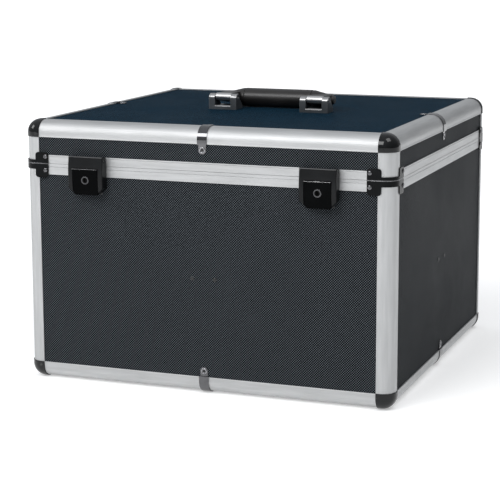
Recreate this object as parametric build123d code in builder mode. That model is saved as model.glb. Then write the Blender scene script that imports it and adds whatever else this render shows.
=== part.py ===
from build123d import *
import math
import os

os.makedirs("parts", exist_ok=True)

# The case stands on its ball corners at z = 0, with its front towards -Y and its lid hinged at the back.
# The origin lies under the middle of the whole object, latches and hinges included. Sizes are in mm.

# Overall size, over the flats of the aluminium edge profiles
case_width = 540.0
case_depth = 520.0
case_height = 370.0
lid_height = 60.0
seam_gap = 0.4

# Edge profile: a hollow rounded corner with a slot for each of the two panels
edge_leg = 23.0
edge_radius = 18.0
edge_skin = 1.5
edge_lip = 1.2
edge_lip_leg = 20.0
edge_lip_ridge = 0.3
edge_lip_ridge_width = 1.6
edge_core_wall = 1.5
slot_bottom = 13.5
end_gap = 0.2

# Plywood panels with a laminate face
panel_thickness = 7.0
panel_play = 0.2
panel_corner_cut = 4.0
panel_slot = panel_thickness + 2 * 0.1

# Ball corners, which are also the feet
ball_proud = 1.2
ball_wall = 1.6
ball_core_chamfer = 14.0

# Closure profiles along the seam, with a tongue on the base and a groove in the lid
base_band = 15.0
lid_band = 12.0
band_web = 1.5
tongue_height = 2.2
tongue_width = 2.6
groove_depth = 3.2
band_line_depth = 0.5
band_line_width = 0.7
base_band_line = 4.0
lid_band_line = 9.6

# Black brackets that wrap the four posts at the seam, one half on the base and one on the lid
bracket_reach = 37.5
bracket_thickness = 1.3
base_ear_height = 19.5
lid_ear_height = 15.5
base_wrap_height = 8.0
lid_wrap_height = 4.6
ear_fillet = 4.0

# Bright straps over the middle of each top and bottom edge
clip_width = 14.0
clip_thickness = 0.8
clip_tab = 13.5
clip_tab_width = 11.0
clip_tab_cut = 3.2
clip_fit = 0.05

# Divider channels, dividers and foam
channel_flange = 24.0
channel_metal = 1.5
channel_rib = 14.0
channel_groove = 7.6
channel_top_drop = 17.0
divider_thickness = 7.0
divider_end_play = 1.0
divider_top_drop = 12.0
divider_lap_play = 0.5
foam_floor = 10.0
foam_wall = 8.0
foam_lid = 15.0
foam_gap = 0.3
foam_top_drop = 20.0

# Latches: a hasp hinged on the lid, and a lock with a flap and a key on the base
latch_inset = 101.0
latch_width = 52.0
latch_top = 14.0
latch_bottom = 39.5
latch_chamfer = 10.0
latch_back = 0.5
hasp_top_reach = 12.8
hasp_crown_reach = 15.0
hasp_crown_drop = 6.0
hasp_bottom_reach = 12.6
hasp_wall = 2.0
hasp_pin_drop = 5.5
hasp_pin_out = 7.3
hasp_edge_bevel = 1.0
hasp_sill = 2.0
flap_width = 38.0
flap_side_gap = 0.5
flap_ledge = 2.7
flap_ledge_reach = 16.6
flap_bottom_reach = 12.6
flap_back_top = 2.8
flap_wall = 2.0
flap_pin_rise = 4.5
flap_bevel = 0.6
finger_bump_width = 9.0
finger_bump_height = 0.5
finger_bump_depth = 1.2
lock_plate = 1.5
lock_plate_top = 1.0
lug_radius = 3.0
lug_thickness = 3.5
lug_offset = 9.5
hasp_lug_offset = 15.0
hasp_lug_radius = 2.8
hasp_lug_web = 2.0
hasp_plate_width = 44.0
hasp_plate_rise = 1.0
latch_pin_radius = 1.5
pin_play = 0.05

# Key cylinder, carried by the flap
key_drop = 18.5
plug_radius = 4.0
key_collar_radius = 5.8
key_collar_height = 1.5
key_seat_depth = 0.8
key_boss_width = 12.8
key_boss_depth = 6.0
key_slot_length = 5.0
key_slot_width = 1.3
key_slot_depth = 3.0
cam_length = 11.0
cam_width = 6.0
cam_thickness = 1.6
cam_gap = 0.8

# Rear hinges
hinge_inset = 120.0
hinge_width = 62.0
hinge_metal = 1.5
hinge_pin_radius = 1.8
hinge_knuckle_radius = 3.6
hinge_knuckles = 3
hinge_knuckle_gap = 0.3
hinge_base_leaf = 38.0
hinge_lid_leaf = 32.0
hinge_heel = 2.4
hinge_heel_thickness = 1.6
lid_opening = 100.0

# Carrying handle on the lid
handle_x = 9.0
handle_front_y = -28.0
handle_bracket_spacing = 143.0
handle_bracket_width = 44.0
handle_bracket_depth = 26.0
handle_ear = 9.5
handle_sill = 6.0
handle_sill_bevel = 1.5
handle_ear_top = 23.5
handle_pin_from_front = 8.0
handle_pin_height = 18.5
handle_pin_radius = 2.0
handle_arm = 45.0
handle_arm_width = 24.0
handle_eye_radius = 5.4
handle_root_radius = 8.5
handle_edge_bevel = 0.8
grip_radius = 14.0
grip_half_length = 87.0
grip_barrel = 52.0
grip_groove = 1.8
grip_groove_depth = 1.2
grip_collar = 3.0
grip_collar_radius = 13.6
grip_end_radius = 6.0
grip_rest_gap = 0.3
handle_plate_margin = 6.0
handle_plate_thickness = 1.5

# Levels and planes that the sizes above give
latch_reach = flap_ledge_reach
hinge_axis_out = hinge_knuckle_radius
hinge_heel_line = hinge_axis_out - hinge_metal - pin_play
hinge_heel_end = hinge_knuckle_radius + hinge_heel
hinge_swing = math.radians(lid_opening)
hinge_heel_reach = hinge_heel_end * math.sin(hinge_swing) - hinge_heel_line * math.cos(hinge_swing)
hinge_reach = hinge_axis_out + hinge_heel_reach
mid_y = (latch_reach - hinge_reach) / 2
front_y = mid_y - case_depth / 2
back_y = mid_y + case_depth / 2
half_width = case_width / 2
bottom_z = ball_proud
top_z = bottom_z + case_height
seam_z = top_z - lid_height
base_top_z = seam_z - seam_gap / 2
lid_bottom_z = seam_z + seam_gap / 2
panel_inner = edge_skin + panel_slot
lip_inner = panel_inner + edge_lip
deck_z = top_z - edge_skin
clip_shoulder = edge_leg + clip_fit + clip_thickness
clip_tab_end = edge_leg + clip_tab
foam_outer = lip_inner + panel_play
foam_inner = foam_outer + foam_wall
floor_foam_z = bottom_z + foam_outer
floor_top_z = floor_foam_z + foam_floor
channel_bottom_z = bottom_z + edge_lip_leg + panel_play
lid_foam_z = top_z - foam_outer - foam_lid

LEFT, RIGHT = (1, 0, 0), (-1, 0, 0)
FRONT, BACK = (0, 1, 0), (0, -1, 0)
UP, DOWN = (0, 0, 1), (0, 0, -1)


def corner_plane(origin, first, second):
    """A plane at an outer corner, whose X and Y run inwards from it along the two faces."""
    return Plane(origin=origin, x_dir=first, z_dir=Vector(*first).cross(Vector(*second)))


def edge_section():
    """Section of the edge profile: its outer corner is the origin and both legs run inwards."""
    with BuildSketch() as section:
        with BuildLine():
            Polyline(
                (0, edge_radius),
                (0, edge_leg - edge_lip_ridge_width),
                (-edge_lip_ridge, edge_leg - edge_lip_ridge_width / 2),
                (0, edge_leg),
                (edge_skin, edge_leg),
                (edge_skin, slot_bottom),
                (panel_inner, slot_bottom),
                (panel_inner, edge_lip_leg),
                (lip_inner, edge_lip_leg),
                (lip_inner, lip_inner),
                (edge_lip_leg, lip_inner),
                (edge_lip_leg, panel_inner),
                (slot_bottom, panel_inner),
                (slot_bottom, edge_skin),
                (edge_leg, edge_skin),
                (edge_leg, 0),
                (edge_leg - edge_lip_ridge_width / 2, -edge_lip_ridge),
                (edge_leg - edge_lip_ridge_width, 0),
                (edge_radius, 0),
            )
            RadiusArc((edge_radius, 0), (0, edge_radius), edge_radius)
        make_face()
        far = slot_bottom - edge_core_wall
        near = edge_radius - math.sqrt(edge_radius**2 - (edge_radius - far) ** 2) + edge_core_wall
        inner = lip_inner - edge_core_wall
        with BuildLine():
            Polyline((near, far), (inner, far), (inner, inner), (far, inner), (far, near), close=True)
        make_face(mode=Mode.SUBTRACT)
    return section.sketch


def clip_section():
    """Section of an edge strap: it follows the rounded profile and steps down onto both panels."""
    skin = clip_fit
    out = clip_fit + clip_thickness
    tab_top = edge_skin - clip_thickness - clip_fit
    tab_under = edge_skin - clip_fit
    step = edge_leg + clip_fit
    ridge = edge_lip_ridge
    with BuildSketch() as section:
        with BuildLine():
            Polyline(
                (-ridge - skin, edge_radius),
                (-ridge - skin, step),
                (tab_under, step),
                (tab_under, clip_tab_end),
                (tab_top, clip_tab_end),
                (tab_top, clip_shoulder),
                (-ridge - out, clip_shoulder),
                (-ridge - out, edge_radius),
            )
            RadiusArc((-ridge - out, edge_radius), (edge_radius, -ridge - out), -edge_radius - ridge - out)
            Polyline(
                (edge_radius, -ridge - out),
                (clip_shoulder, -ridge - out),
                (clip_shoulder, tab_top),
                (clip_tab_end, tab_top),
                (clip_tab_end, tab_under),
                (step, tab_under),
                (step, -ridge - skin),
                (edge_radius, -ridge - skin),
            )
            RadiusArc((edge_radius, -ridge - skin), (-ridge - skin, edge_radius), edge_radius + ridge + skin)
        make_face()
    return section.sketch


def clip_tab_outline():
    """Outline of a strap's tab, X away from the case's edge: it is narrower than the strap, with cut corners."""
    with BuildSketch() as outline:
        with Locations(((clip_shoulder + clip_tab_end) / 2, 0)):
            tab = Rectangle(clip_tab_end - clip_shoulder, clip_tab_width)
        chamfer(tab.vertices().group_by(Axis.X)[-1], clip_tab_cut)
    return outline.sketch


def edge_clip():
    """An edge strap about the origin, with its section in XY and its width along Z."""
    with BuildPart() as clip:
        with BuildSketch():
            add(clip_section())
        extrude(amount=clip_width / 2, both=True)
        for tab_plane in (Plane.YZ, Plane.XZ):
            with BuildSketch(tab_plane):
                with Locations((clip_shoulder + clip_tab / 2, 0)):
                    Rectangle(clip_tab, 2 * clip_width)
                add(clip_tab_outline(), mode=Mode.SUBTRACT)
            extrude(amount=2 * edge_skin, both=True, mode=Mode.SUBTRACT)
    return clip.part


def base_closure_section():
    """Section of the base's closure profile, X inwards from the outer face and Y up from the seam."""
    tongue_from = (lip_inner - tongue_width) / 2
    line = -base_band_line
    with BuildSketch() as section:
        with BuildLine():
            Polyline(
                (0, 0),
                (tongue_from, 0),
                (tongue_from, tongue_height),
                (tongue_from + tongue_width, tongue_height),
                (tongue_from + tongue_width, 0),
                (lip_inner, 0),
                (lip_inner, -base_band),
                (panel_inner, -base_band),
                (panel_inner, -band_web),
                (edge_skin, -band_web),
                (edge_skin, -base_band),
                (0, -base_band),
                (0, line - band_line_width),
                (band_line_depth, line - band_line_width / 2),
                (0, line),
                close=True,
            )
        make_face()
    return section.sketch


def lid_closure_section():
    """Section of the lid's closure profile, X inwards from the outer face and Y up from the seam."""
    line = lid_band_line
    with BuildSketch() as section:
        with BuildLine():
            Polyline(
                (0, 0),
                (edge_skin, 0),
                (edge_skin, groove_depth),
                (panel_inner, groove_depth),
                (panel_inner, 0),
                (lip_inner, 0),
                (lip_inner, lid_band),
                (panel_inner, lid_band),
                (panel_inner, groove_depth + band_web),
                (edge_skin, groove_depth + band_web),
                (edge_skin, lid_band),
                (0, lid_band),
                (0, line + band_line_width),
                (band_line_depth, line + band_line_width / 2),
                (0, line),
                close=True,
            )
        make_face()
    return section.sketch


# Panels of the base and the lid
panel_x = case_width - 2 * (slot_bottom + panel_play)
panel_y = case_depth - 2 * (slot_bottom + panel_play)
base_panel_from = bottom_z + slot_bottom + panel_play
base_panel_to = base_top_z - band_web - panel_play
lid_panel_from = lid_bottom_z + groove_depth + band_web + panel_play
lid_panel_to = top_z - slot_bottom - panel_play
panel_skin = edge_skin + (panel_slot - panel_thickness) / 2

with BuildPart() as base_bottom_panel:
    with BuildSketch(Plane.XY.offset(bottom_z + panel_skin)):
        with Locations((0, mid_y)):
            panel_outline = Rectangle(panel_x, panel_y)
        chamfer(panel_outline.vertices(), panel_corner_cut)
    extrude(amount=panel_thickness)
base_bottom_panel.part.label = "base_bottom_panel"
export_step(base_bottom_panel.part, "parts/base_bottom_panel.step")

with BuildPart() as lid_top_panel:
    with BuildSketch(Plane.XY.offset(top_z - panel_skin - panel_thickness)):
        with Locations((0, mid_y)):
            panel_outline = Rectangle(panel_x, panel_y)
        chamfer(panel_outline.vertices(), panel_corner_cut)
    extrude(amount=panel_thickness)
lid_top_panel.part.label = "lid_top_panel"
export_step(lid_top_panel.part, "parts/lid_top_panel.step")

side_planes = {
    "front": (Plane(origin=(0, front_y + panel_skin, 0), x_dir=(1, 0, 0), z_dir=(0, -1, 0)), panel_x, -1),
    "back": (Plane(origin=(0, back_y - panel_skin, 0), x_dir=(1, 0, 0), z_dir=(0, -1, 0)), panel_x, 1),
    "left": (Plane(origin=(-half_width + panel_skin, mid_y, 0), x_dir=(0, 1, 0), z_dir=(1, 0, 0)), panel_y, 1),
    "right": (Plane(origin=(half_width - panel_skin, mid_y, 0), x_dir=(0, 1, 0), z_dir=(1, 0, 0)), panel_y, -1),
}
panel_spans = {"base": (base_panel_from, base_panel_to, -1), "lid": (lid_panel_from, lid_panel_to, 1)}

for body, (low_z, high_z, cut_side) in panel_spans.items():
    for side, (side_plane, panel_length, inwards) in side_planes.items():
        with BuildPart() as side_panel:
            with BuildSketch(side_plane):
                with Locations((0, (low_z + high_z) / 2)):
                    panel_outline = Rectangle(panel_length, high_z - low_z)
                cut_corners = panel_outline.vertices().group_by(Axis.Z)[0 if cut_side < 0 else -1]
                chamfer(cut_corners, panel_corner_cut)
            extrude(amount=inwards * panel_thickness)
        side_panel.part.label = f"{body}_{side}_panel"
        export_step(side_panel.part, f"parts/{body}_{side}_panel.step")

# Edge profiles of the bottom and the top
rail_x = case_width - 2 * (edge_leg + end_gap)
rail_y = case_depth - 2 * (edge_leg + end_gap)
rails = {
    "front": ((0, front_y), FRONT, rail_x),
    "back": ((0, back_y), BACK, rail_x),
    "left": ((-half_width, mid_y), LEFT, rail_y),
    "right": ((half_width, mid_y), RIGHT, rail_y),
}
for level, level_z, level_in in (("bottom", bottom_z, UP), ("top", top_z, DOWN)):
    for side, ((rail_at_x, rail_at_y), rail_in, rail_length) in rails.items():
        with BuildPart() as edge_rail:
            with BuildSketch(corner_plane((rail_at_x, rail_at_y, level_z), rail_in, level_in)):
                add(edge_section())
            extrude(amount=rail_length / 2, both=True)
        edge_rail.part.label = f"{level}_edge_{side}"
        export_step(edge_rail.part, f"parts/{level}_edge_{side}.step")

# Corner posts, which run from the ball corners to the seam
corners = (
    (-half_width, front_y, LEFT, FRONT),
    (half_width, front_y, RIGHT, FRONT),
    (-half_width, back_y, LEFT, BACK),
    (half_width, back_y, RIGHT, BACK),
)
base_post = (bottom_z + edge_leg + end_gap, base_top_z)
lid_post = (lid_bottom_z, top_z - edge_leg - end_gap)
for body, (post_from, post_to) in (("base", base_post), ("lid", lid_post)):
    with BuildPart() as corner_posts:
        for corner_x, corner_y, in_x, in_y in corners:
            with BuildSketch(corner_plane((corner_x, corner_y, (post_from + post_to) / 2), in_x, in_y)):
                add(edge_section())
            extrude(amount=(post_to - post_from) / 2, both=True)
    corner_posts.part.label = f"{body}_corner_posts"
    export_step(corner_posts.part, f"parts/{body}_corner_posts.step")

# Ball corners: rounded caps over the ends of three profiles, hollow inside
ball_outer = edge_leg + ball_proud
ball_radius = edge_radius + ball_proud
for level, ball_z, ball_up in (("bottom", bottom_z - ball_proud, 1), ("top", top_z + ball_proud, -1)):
    outer_tip = Vector(-half_width - ball_proud, front_y - ball_proud, ball_z)
    inner_tip = outer_tip + Vector(ball_wall, ball_wall, ball_up * ball_wall)
    with BuildPart() as ball_corners:
        for tip, mode in ((outer_tip, Mode.ADD), (inner_tip, Mode.SUBTRACT)):
            with BuildSketch(Plane(origin=tip)):
                with Locations((ball_outer / 2, ball_outer / 2)):
                    Rectangle(ball_outer, ball_outer)
            extrude(amount=ball_up * ball_outer, mode=mode)
        chamfer(ball_corners.edges().filter_by(lambda edge: edge.distance_to(inner_tip) < 0.1), ball_core_chamfer)
        fillet(ball_corners.edges().filter_by(lambda edge: edge.distance_to(outer_tip) < 0.1), ball_radius)
        mirror(about=Plane.YZ)
        mirror(about=Plane.XZ.offset(-mid_y))
    ball_corners.part.label = f"{level}_ball_corners"
    export_step(ball_corners.part, f"parts/{level}_ball_corners.step")

# Closure profiles round the seam, four lengths between the posts
for body, closure_z, closure_section in (
    ("base", base_top_z, base_closure_section()),
    ("lid", lid_bottom_z, lid_closure_section()),
):
    with BuildPart() as closure_frame:
        for (rail_at_x, rail_at_y), rail_in, rail_length in rails.values():
            with BuildSketch(corner_plane((rail_at_x, rail_at_y, closure_z), rail_in, UP)):
                add(closure_section)
            extrude(amount=rail_length / 2, both=True)
    closure_frame.part.label = f"{body}_closure_frame"
    export_step(closure_frame.part, f"parts/{body}_closure_frame.step")


def bracket_strip():
    """Plan of a seam bracket: a strip that wraps the rounded post, with its outer corner at the origin."""
    inner = -clip_fit - edge_lip_ridge
    outer = inner - bracket_thickness
    with BuildSketch() as strip:
        with BuildLine():
            Polyline((edge_radius, outer), (bracket_reach, outer), (bracket_reach, inner), (edge_radius, inner))
            RadiusArc((edge_radius, inner), (inner, edge_radius), edge_radius - inner)
            Polyline((inner, edge_radius), (inner, bracket_reach), (outer, bracket_reach), (outer, edge_radius))
            RadiusArc((outer, edge_radius), (edge_radius, outer), outer - edge_radius)
        make_face()
    return strip.sketch


# Seam brackets: two ears and a narrow band round the post, in halves that meet at the seam
for body, seam_face, way, ear_height, wrap_height in (
    ("base", base_top_z, -1, base_ear_height, base_wrap_height),
    ("lid", lid_bottom_z, 1, lid_ear_height, lid_wrap_height),
):
    with BuildPart() as seam_brackets:
        corner_x, corner_y, in_x, in_y = corners[0]
        bracket_plane = corner_plane((corner_x, corner_y, seam_face), in_x, in_y)
        with BuildSketch(bracket_plane):
            add(bracket_strip())
        extrude(amount=way * ear_height)
        with BuildSketch(bracket_plane.offset(way * wrap_height)):
            Rectangle(2 * edge_radius, 2 * edge_radius)
        extrude(amount=way * ear_height, mode=Mode.SUBTRACT)
        ear_tips = seam_brackets.edges().filter_by(GeomType.LINE)
        ear_tips = ear_tips.filter_by(lambda edge: edge.length < 2 * bracket_thickness)
        ear_tips = ear_tips.filter_by(lambda edge: abs(edge.center().Z - seam_face) > ear_height - 1)
        fillet(ear_tips, ear_fillet)
        mirror(about=Plane.YZ)
        mirror(about=Plane.XZ.offset(-mid_y))
    seam_brackets.part.label = f"{body}_seam_brackets"
    export_step(seam_brackets.part, f"parts/{body}_seam_brackets.step")

# Straps over the middle of the top and bottom edges
for level, level_z, level_in in (("bottom", bottom_z, UP), ("top", top_z, DOWN)):
    with BuildPart() as edge_clips:
        for (rail_at_x, rail_at_y), rail_in, rail_length in rails.values():
            with Locations(corner_plane((rail_at_x, rail_at_y, level_z), rail_in, level_in).location):
                add(edge_clip())
    edge_clips.part.label = f"{level}_edge_clips"
    export_step(edge_clips.part, f"parts/{level}_edge_clips.step")


# Divider channels on the four walls: a flange on the wall and two ribs that hold the divider's end
channel_top_z = base_top_z - channel_top_drop
channel_walls = {
    "front": ((0, front_y), FRONT),
    "back": ((0, back_y), BACK),
    "left": ((-half_width, mid_y), LEFT),
    "right": ((half_width, mid_y), RIGHT),
}
with BuildPart() as divider_channels:
    for (wall_x, wall_y), wall_in in channel_walls.values():
        channel_origin = (
            wall_x + wall_in[0] * (panel_skin + panel_thickness),
            wall_y + wall_in[1] * (panel_skin + panel_thickness),
            channel_bottom_z,
        )
        with BuildSketch(Plane(origin=channel_origin, x_dir=wall_in, z_dir=UP)):
            with Locations((channel_metal / 2, 0)):
                Rectangle(channel_metal, 2 * channel_flange)
            rib_y = (channel_groove + channel_metal) / 2
            with Locations((channel_rib / 2, rib_y), (channel_rib / 2, -rib_y)):
                Rectangle(channel_rib, channel_metal)
        extrude(amount=channel_top_z - channel_bottom_z)
divider_channels.part.label = "divider_channels"
export_step(divider_channels.part, "parts/divider_channels.step")

# Two dividers that lap over each other at the middle
divider_end = panel_skin + panel_thickness + channel_metal + divider_end_play
divider_from = floor_top_z + foam_gap
divider_to = base_top_z - divider_top_drop
lap_z = (divider_from + divider_to) / 2
lap_width = divider_thickness + divider_lap_play
divider_spans = {
    "divider_long": (case_width - 2 * divider_end, Plane.XZ.offset(-mid_y), 1),
    "divider_cross": (case_depth - 2 * divider_end, Plane.YZ, -1),
}
for divider_name, (divider_length, divider_plane, lap_side) in divider_spans.items():
    divider_mid = mid_y if divider_name == "divider_cross" else 0
    with BuildPart() as divider:
        with BuildSketch(divider_plane):
            with Locations((divider_mid, lap_z)):
                Rectangle(divider_length, divider_to - divider_from)
            lap_height = (divider_to - divider_from) / 2 + divider_lap_play
            with Locations((divider_mid, lap_z + lap_side * lap_height / 2)):
                Rectangle(lap_width, lap_height + divider_lap_play, mode=Mode.SUBTRACT)
        extrude(amount=divider_thickness / 2, both=True)
    divider.part.label = divider_name
    export_step(divider.part, f"parts/{divider_name}.step")

# Foam: a floor sheet, a pad each side of every channel, and a sheet in the lid
with BuildPart() as floor_foam:
    with BuildSketch(Plane.XY.offset(floor_foam_z)):
        with Locations((0, mid_y)):
            Rectangle(case_width - 2 * foam_outer, case_depth - 2 * foam_outer)
    extrude(amount=foam_floor)
floor_foam.part.label = "floor_foam"
export_step(floor_foam.part, "parts/floor_foam.step")

with BuildPart() as wall_foam:
    pad_from = channel_flange + foam_gap
    pad_top = base_top_z - foam_top_drop
    front_pad_to = half_width - foam_outer
    side_pad_to = case_depth / 2 - foam_inner - foam_gap
    with BuildSketch(Plane.XY.offset(floor_top_z + foam_gap)):
        for pad_side in (-1, 1):
            for wall_side in (-1, 1):
                pad_x = pad_side * (pad_from + front_pad_to) / 2
                pad_y = mid_y + wall_side * (case_depth / 2 - foam_outer - foam_wall / 2)
                with Locations((pad_x, pad_y)):
                    Rectangle(front_pad_to - pad_from, foam_wall)
                pad_x = wall_side * (half_width - foam_outer - foam_wall / 2)
                pad_y = mid_y + pad_side * (pad_from + side_pad_to) / 2
                with Locations((pad_x, pad_y)):
                    Rectangle(foam_wall, side_pad_to - pad_from)
    extrude(amount=pad_top - floor_top_z - foam_gap)
wall_foam.part.label = "wall_foam"
export_step(wall_foam.part, "parts/wall_foam.step")

# Steel plate under the lid's top panel, which the handle screws into
bracket_offset = handle_bracket_spacing / 2
handle_y = mid_y + handle_front_y
plate_length = handle_bracket_spacing + handle_bracket_width + 2 * handle_plate_margin
plate_depth = handle_bracket_depth + 2 * handle_plate_margin
plate_y = handle_y + handle_bracket_depth / 2
plate_top_z = top_z - panel_skin - panel_thickness
with BuildPart() as handle_backing_plate:
    with BuildSketch(Plane.XY.offset(plate_top_z - handle_plate_thickness)):
        with Locations((handle_x, plate_y)):
            RectangleRounded(plate_length, plate_depth, handle_plate_margin)
    extrude(amount=handle_plate_thickness)
handle_backing_plate.part.label = "handle_backing_plate"
export_step(handle_backing_plate.part, "parts/handle_backing_plate.step")

with BuildPart() as lid_foam:
    with BuildSketch(Plane.XY.offset(lid_foam_z)):
        with Locations((0, mid_y)):
            Rectangle(case_width - 2 * foam_outer, case_depth - 2 * foam_outer)
    extrude(amount=foam_lid)
lid_foam.part.label = "lid_foam"
export_step(lid_foam.part, "parts/lid_foam.step")


# Latches. In their sections X runs out from the front of the case and Y up from the seam.
def latch_side(x):
    """Upright plane through a latch, X out from the case and Y up from the seam."""
    return Plane(origin=(x, front_y, seam_z), x_dir=(0, -1, 0), z_dir=(-1, 0, 0))


def latch_face(x, out=0.0):
    """Plane parallel to the front of the case, seen from the front, at a distance out from it."""
    return Plane(origin=(x, front_y - out, seam_z), x_dir=(1, 0, 0), z_dir=(0, -1, 0))


def latch_outline():
    """Front view of a closed latch: a rectangle with its two bottom corners cut."""
    half = latch_width / 2
    with BuildSketch() as outline:
        with BuildLine():
            Polyline(
                (-half, latch_top),
                (half, latch_top),
                (half, latch_chamfer - latch_bottom),
                (half - latch_chamfer, -latch_bottom),
                (latch_chamfer - half, -latch_bottom),
                (-half, latch_chamfer - latch_bottom),
                close=True,
            )
        make_face()
    return outline.sketch


def lug_section(pin_out, pin_up, radius, web, root):
    """Section of a hinge lug: a round eye about the pin with a web that runs back to its plate."""
    with BuildSketch() as lug:
        with Locations((pin_out, pin_up)):
            Circle(radius)
        with Locations(((pin_out + root) / 2, pin_up)):
            Rectangle(pin_out - root, 2 * web)
        with Locations((pin_out, pin_up)):
            Circle(latch_pin_radius + pin_play, mode=Mode.SUBTRACT)
    return lug.sketch


hasp_pin_up = latch_top - hasp_pin_drop
hasp_round = hasp_pin_out - latch_back
hasp_shoulder = hasp_pin_out - math.sqrt(hasp_round**2 - hasp_pin_drop**2)
flap_pin_out = latch_back + flap_pin_rise
flap_pin_up = flap_pin_rise - latch_bottom
window_half = flap_width / 2 + flap_side_gap
flap_top = -flap_ledge
flap_slope = (flap_ledge_reach - flap_bottom_reach) / (latch_bottom - flap_ledge)
key_up = -key_drop
key_face = flap_bottom_reach + flap_slope * (latch_bottom - key_drop)
key_seat = key_face - key_seat_depth
cam_out = lock_plate + cam_gap
latch_places = {"left": latch_inset - half_width, "right": half_width - latch_inset}

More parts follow.
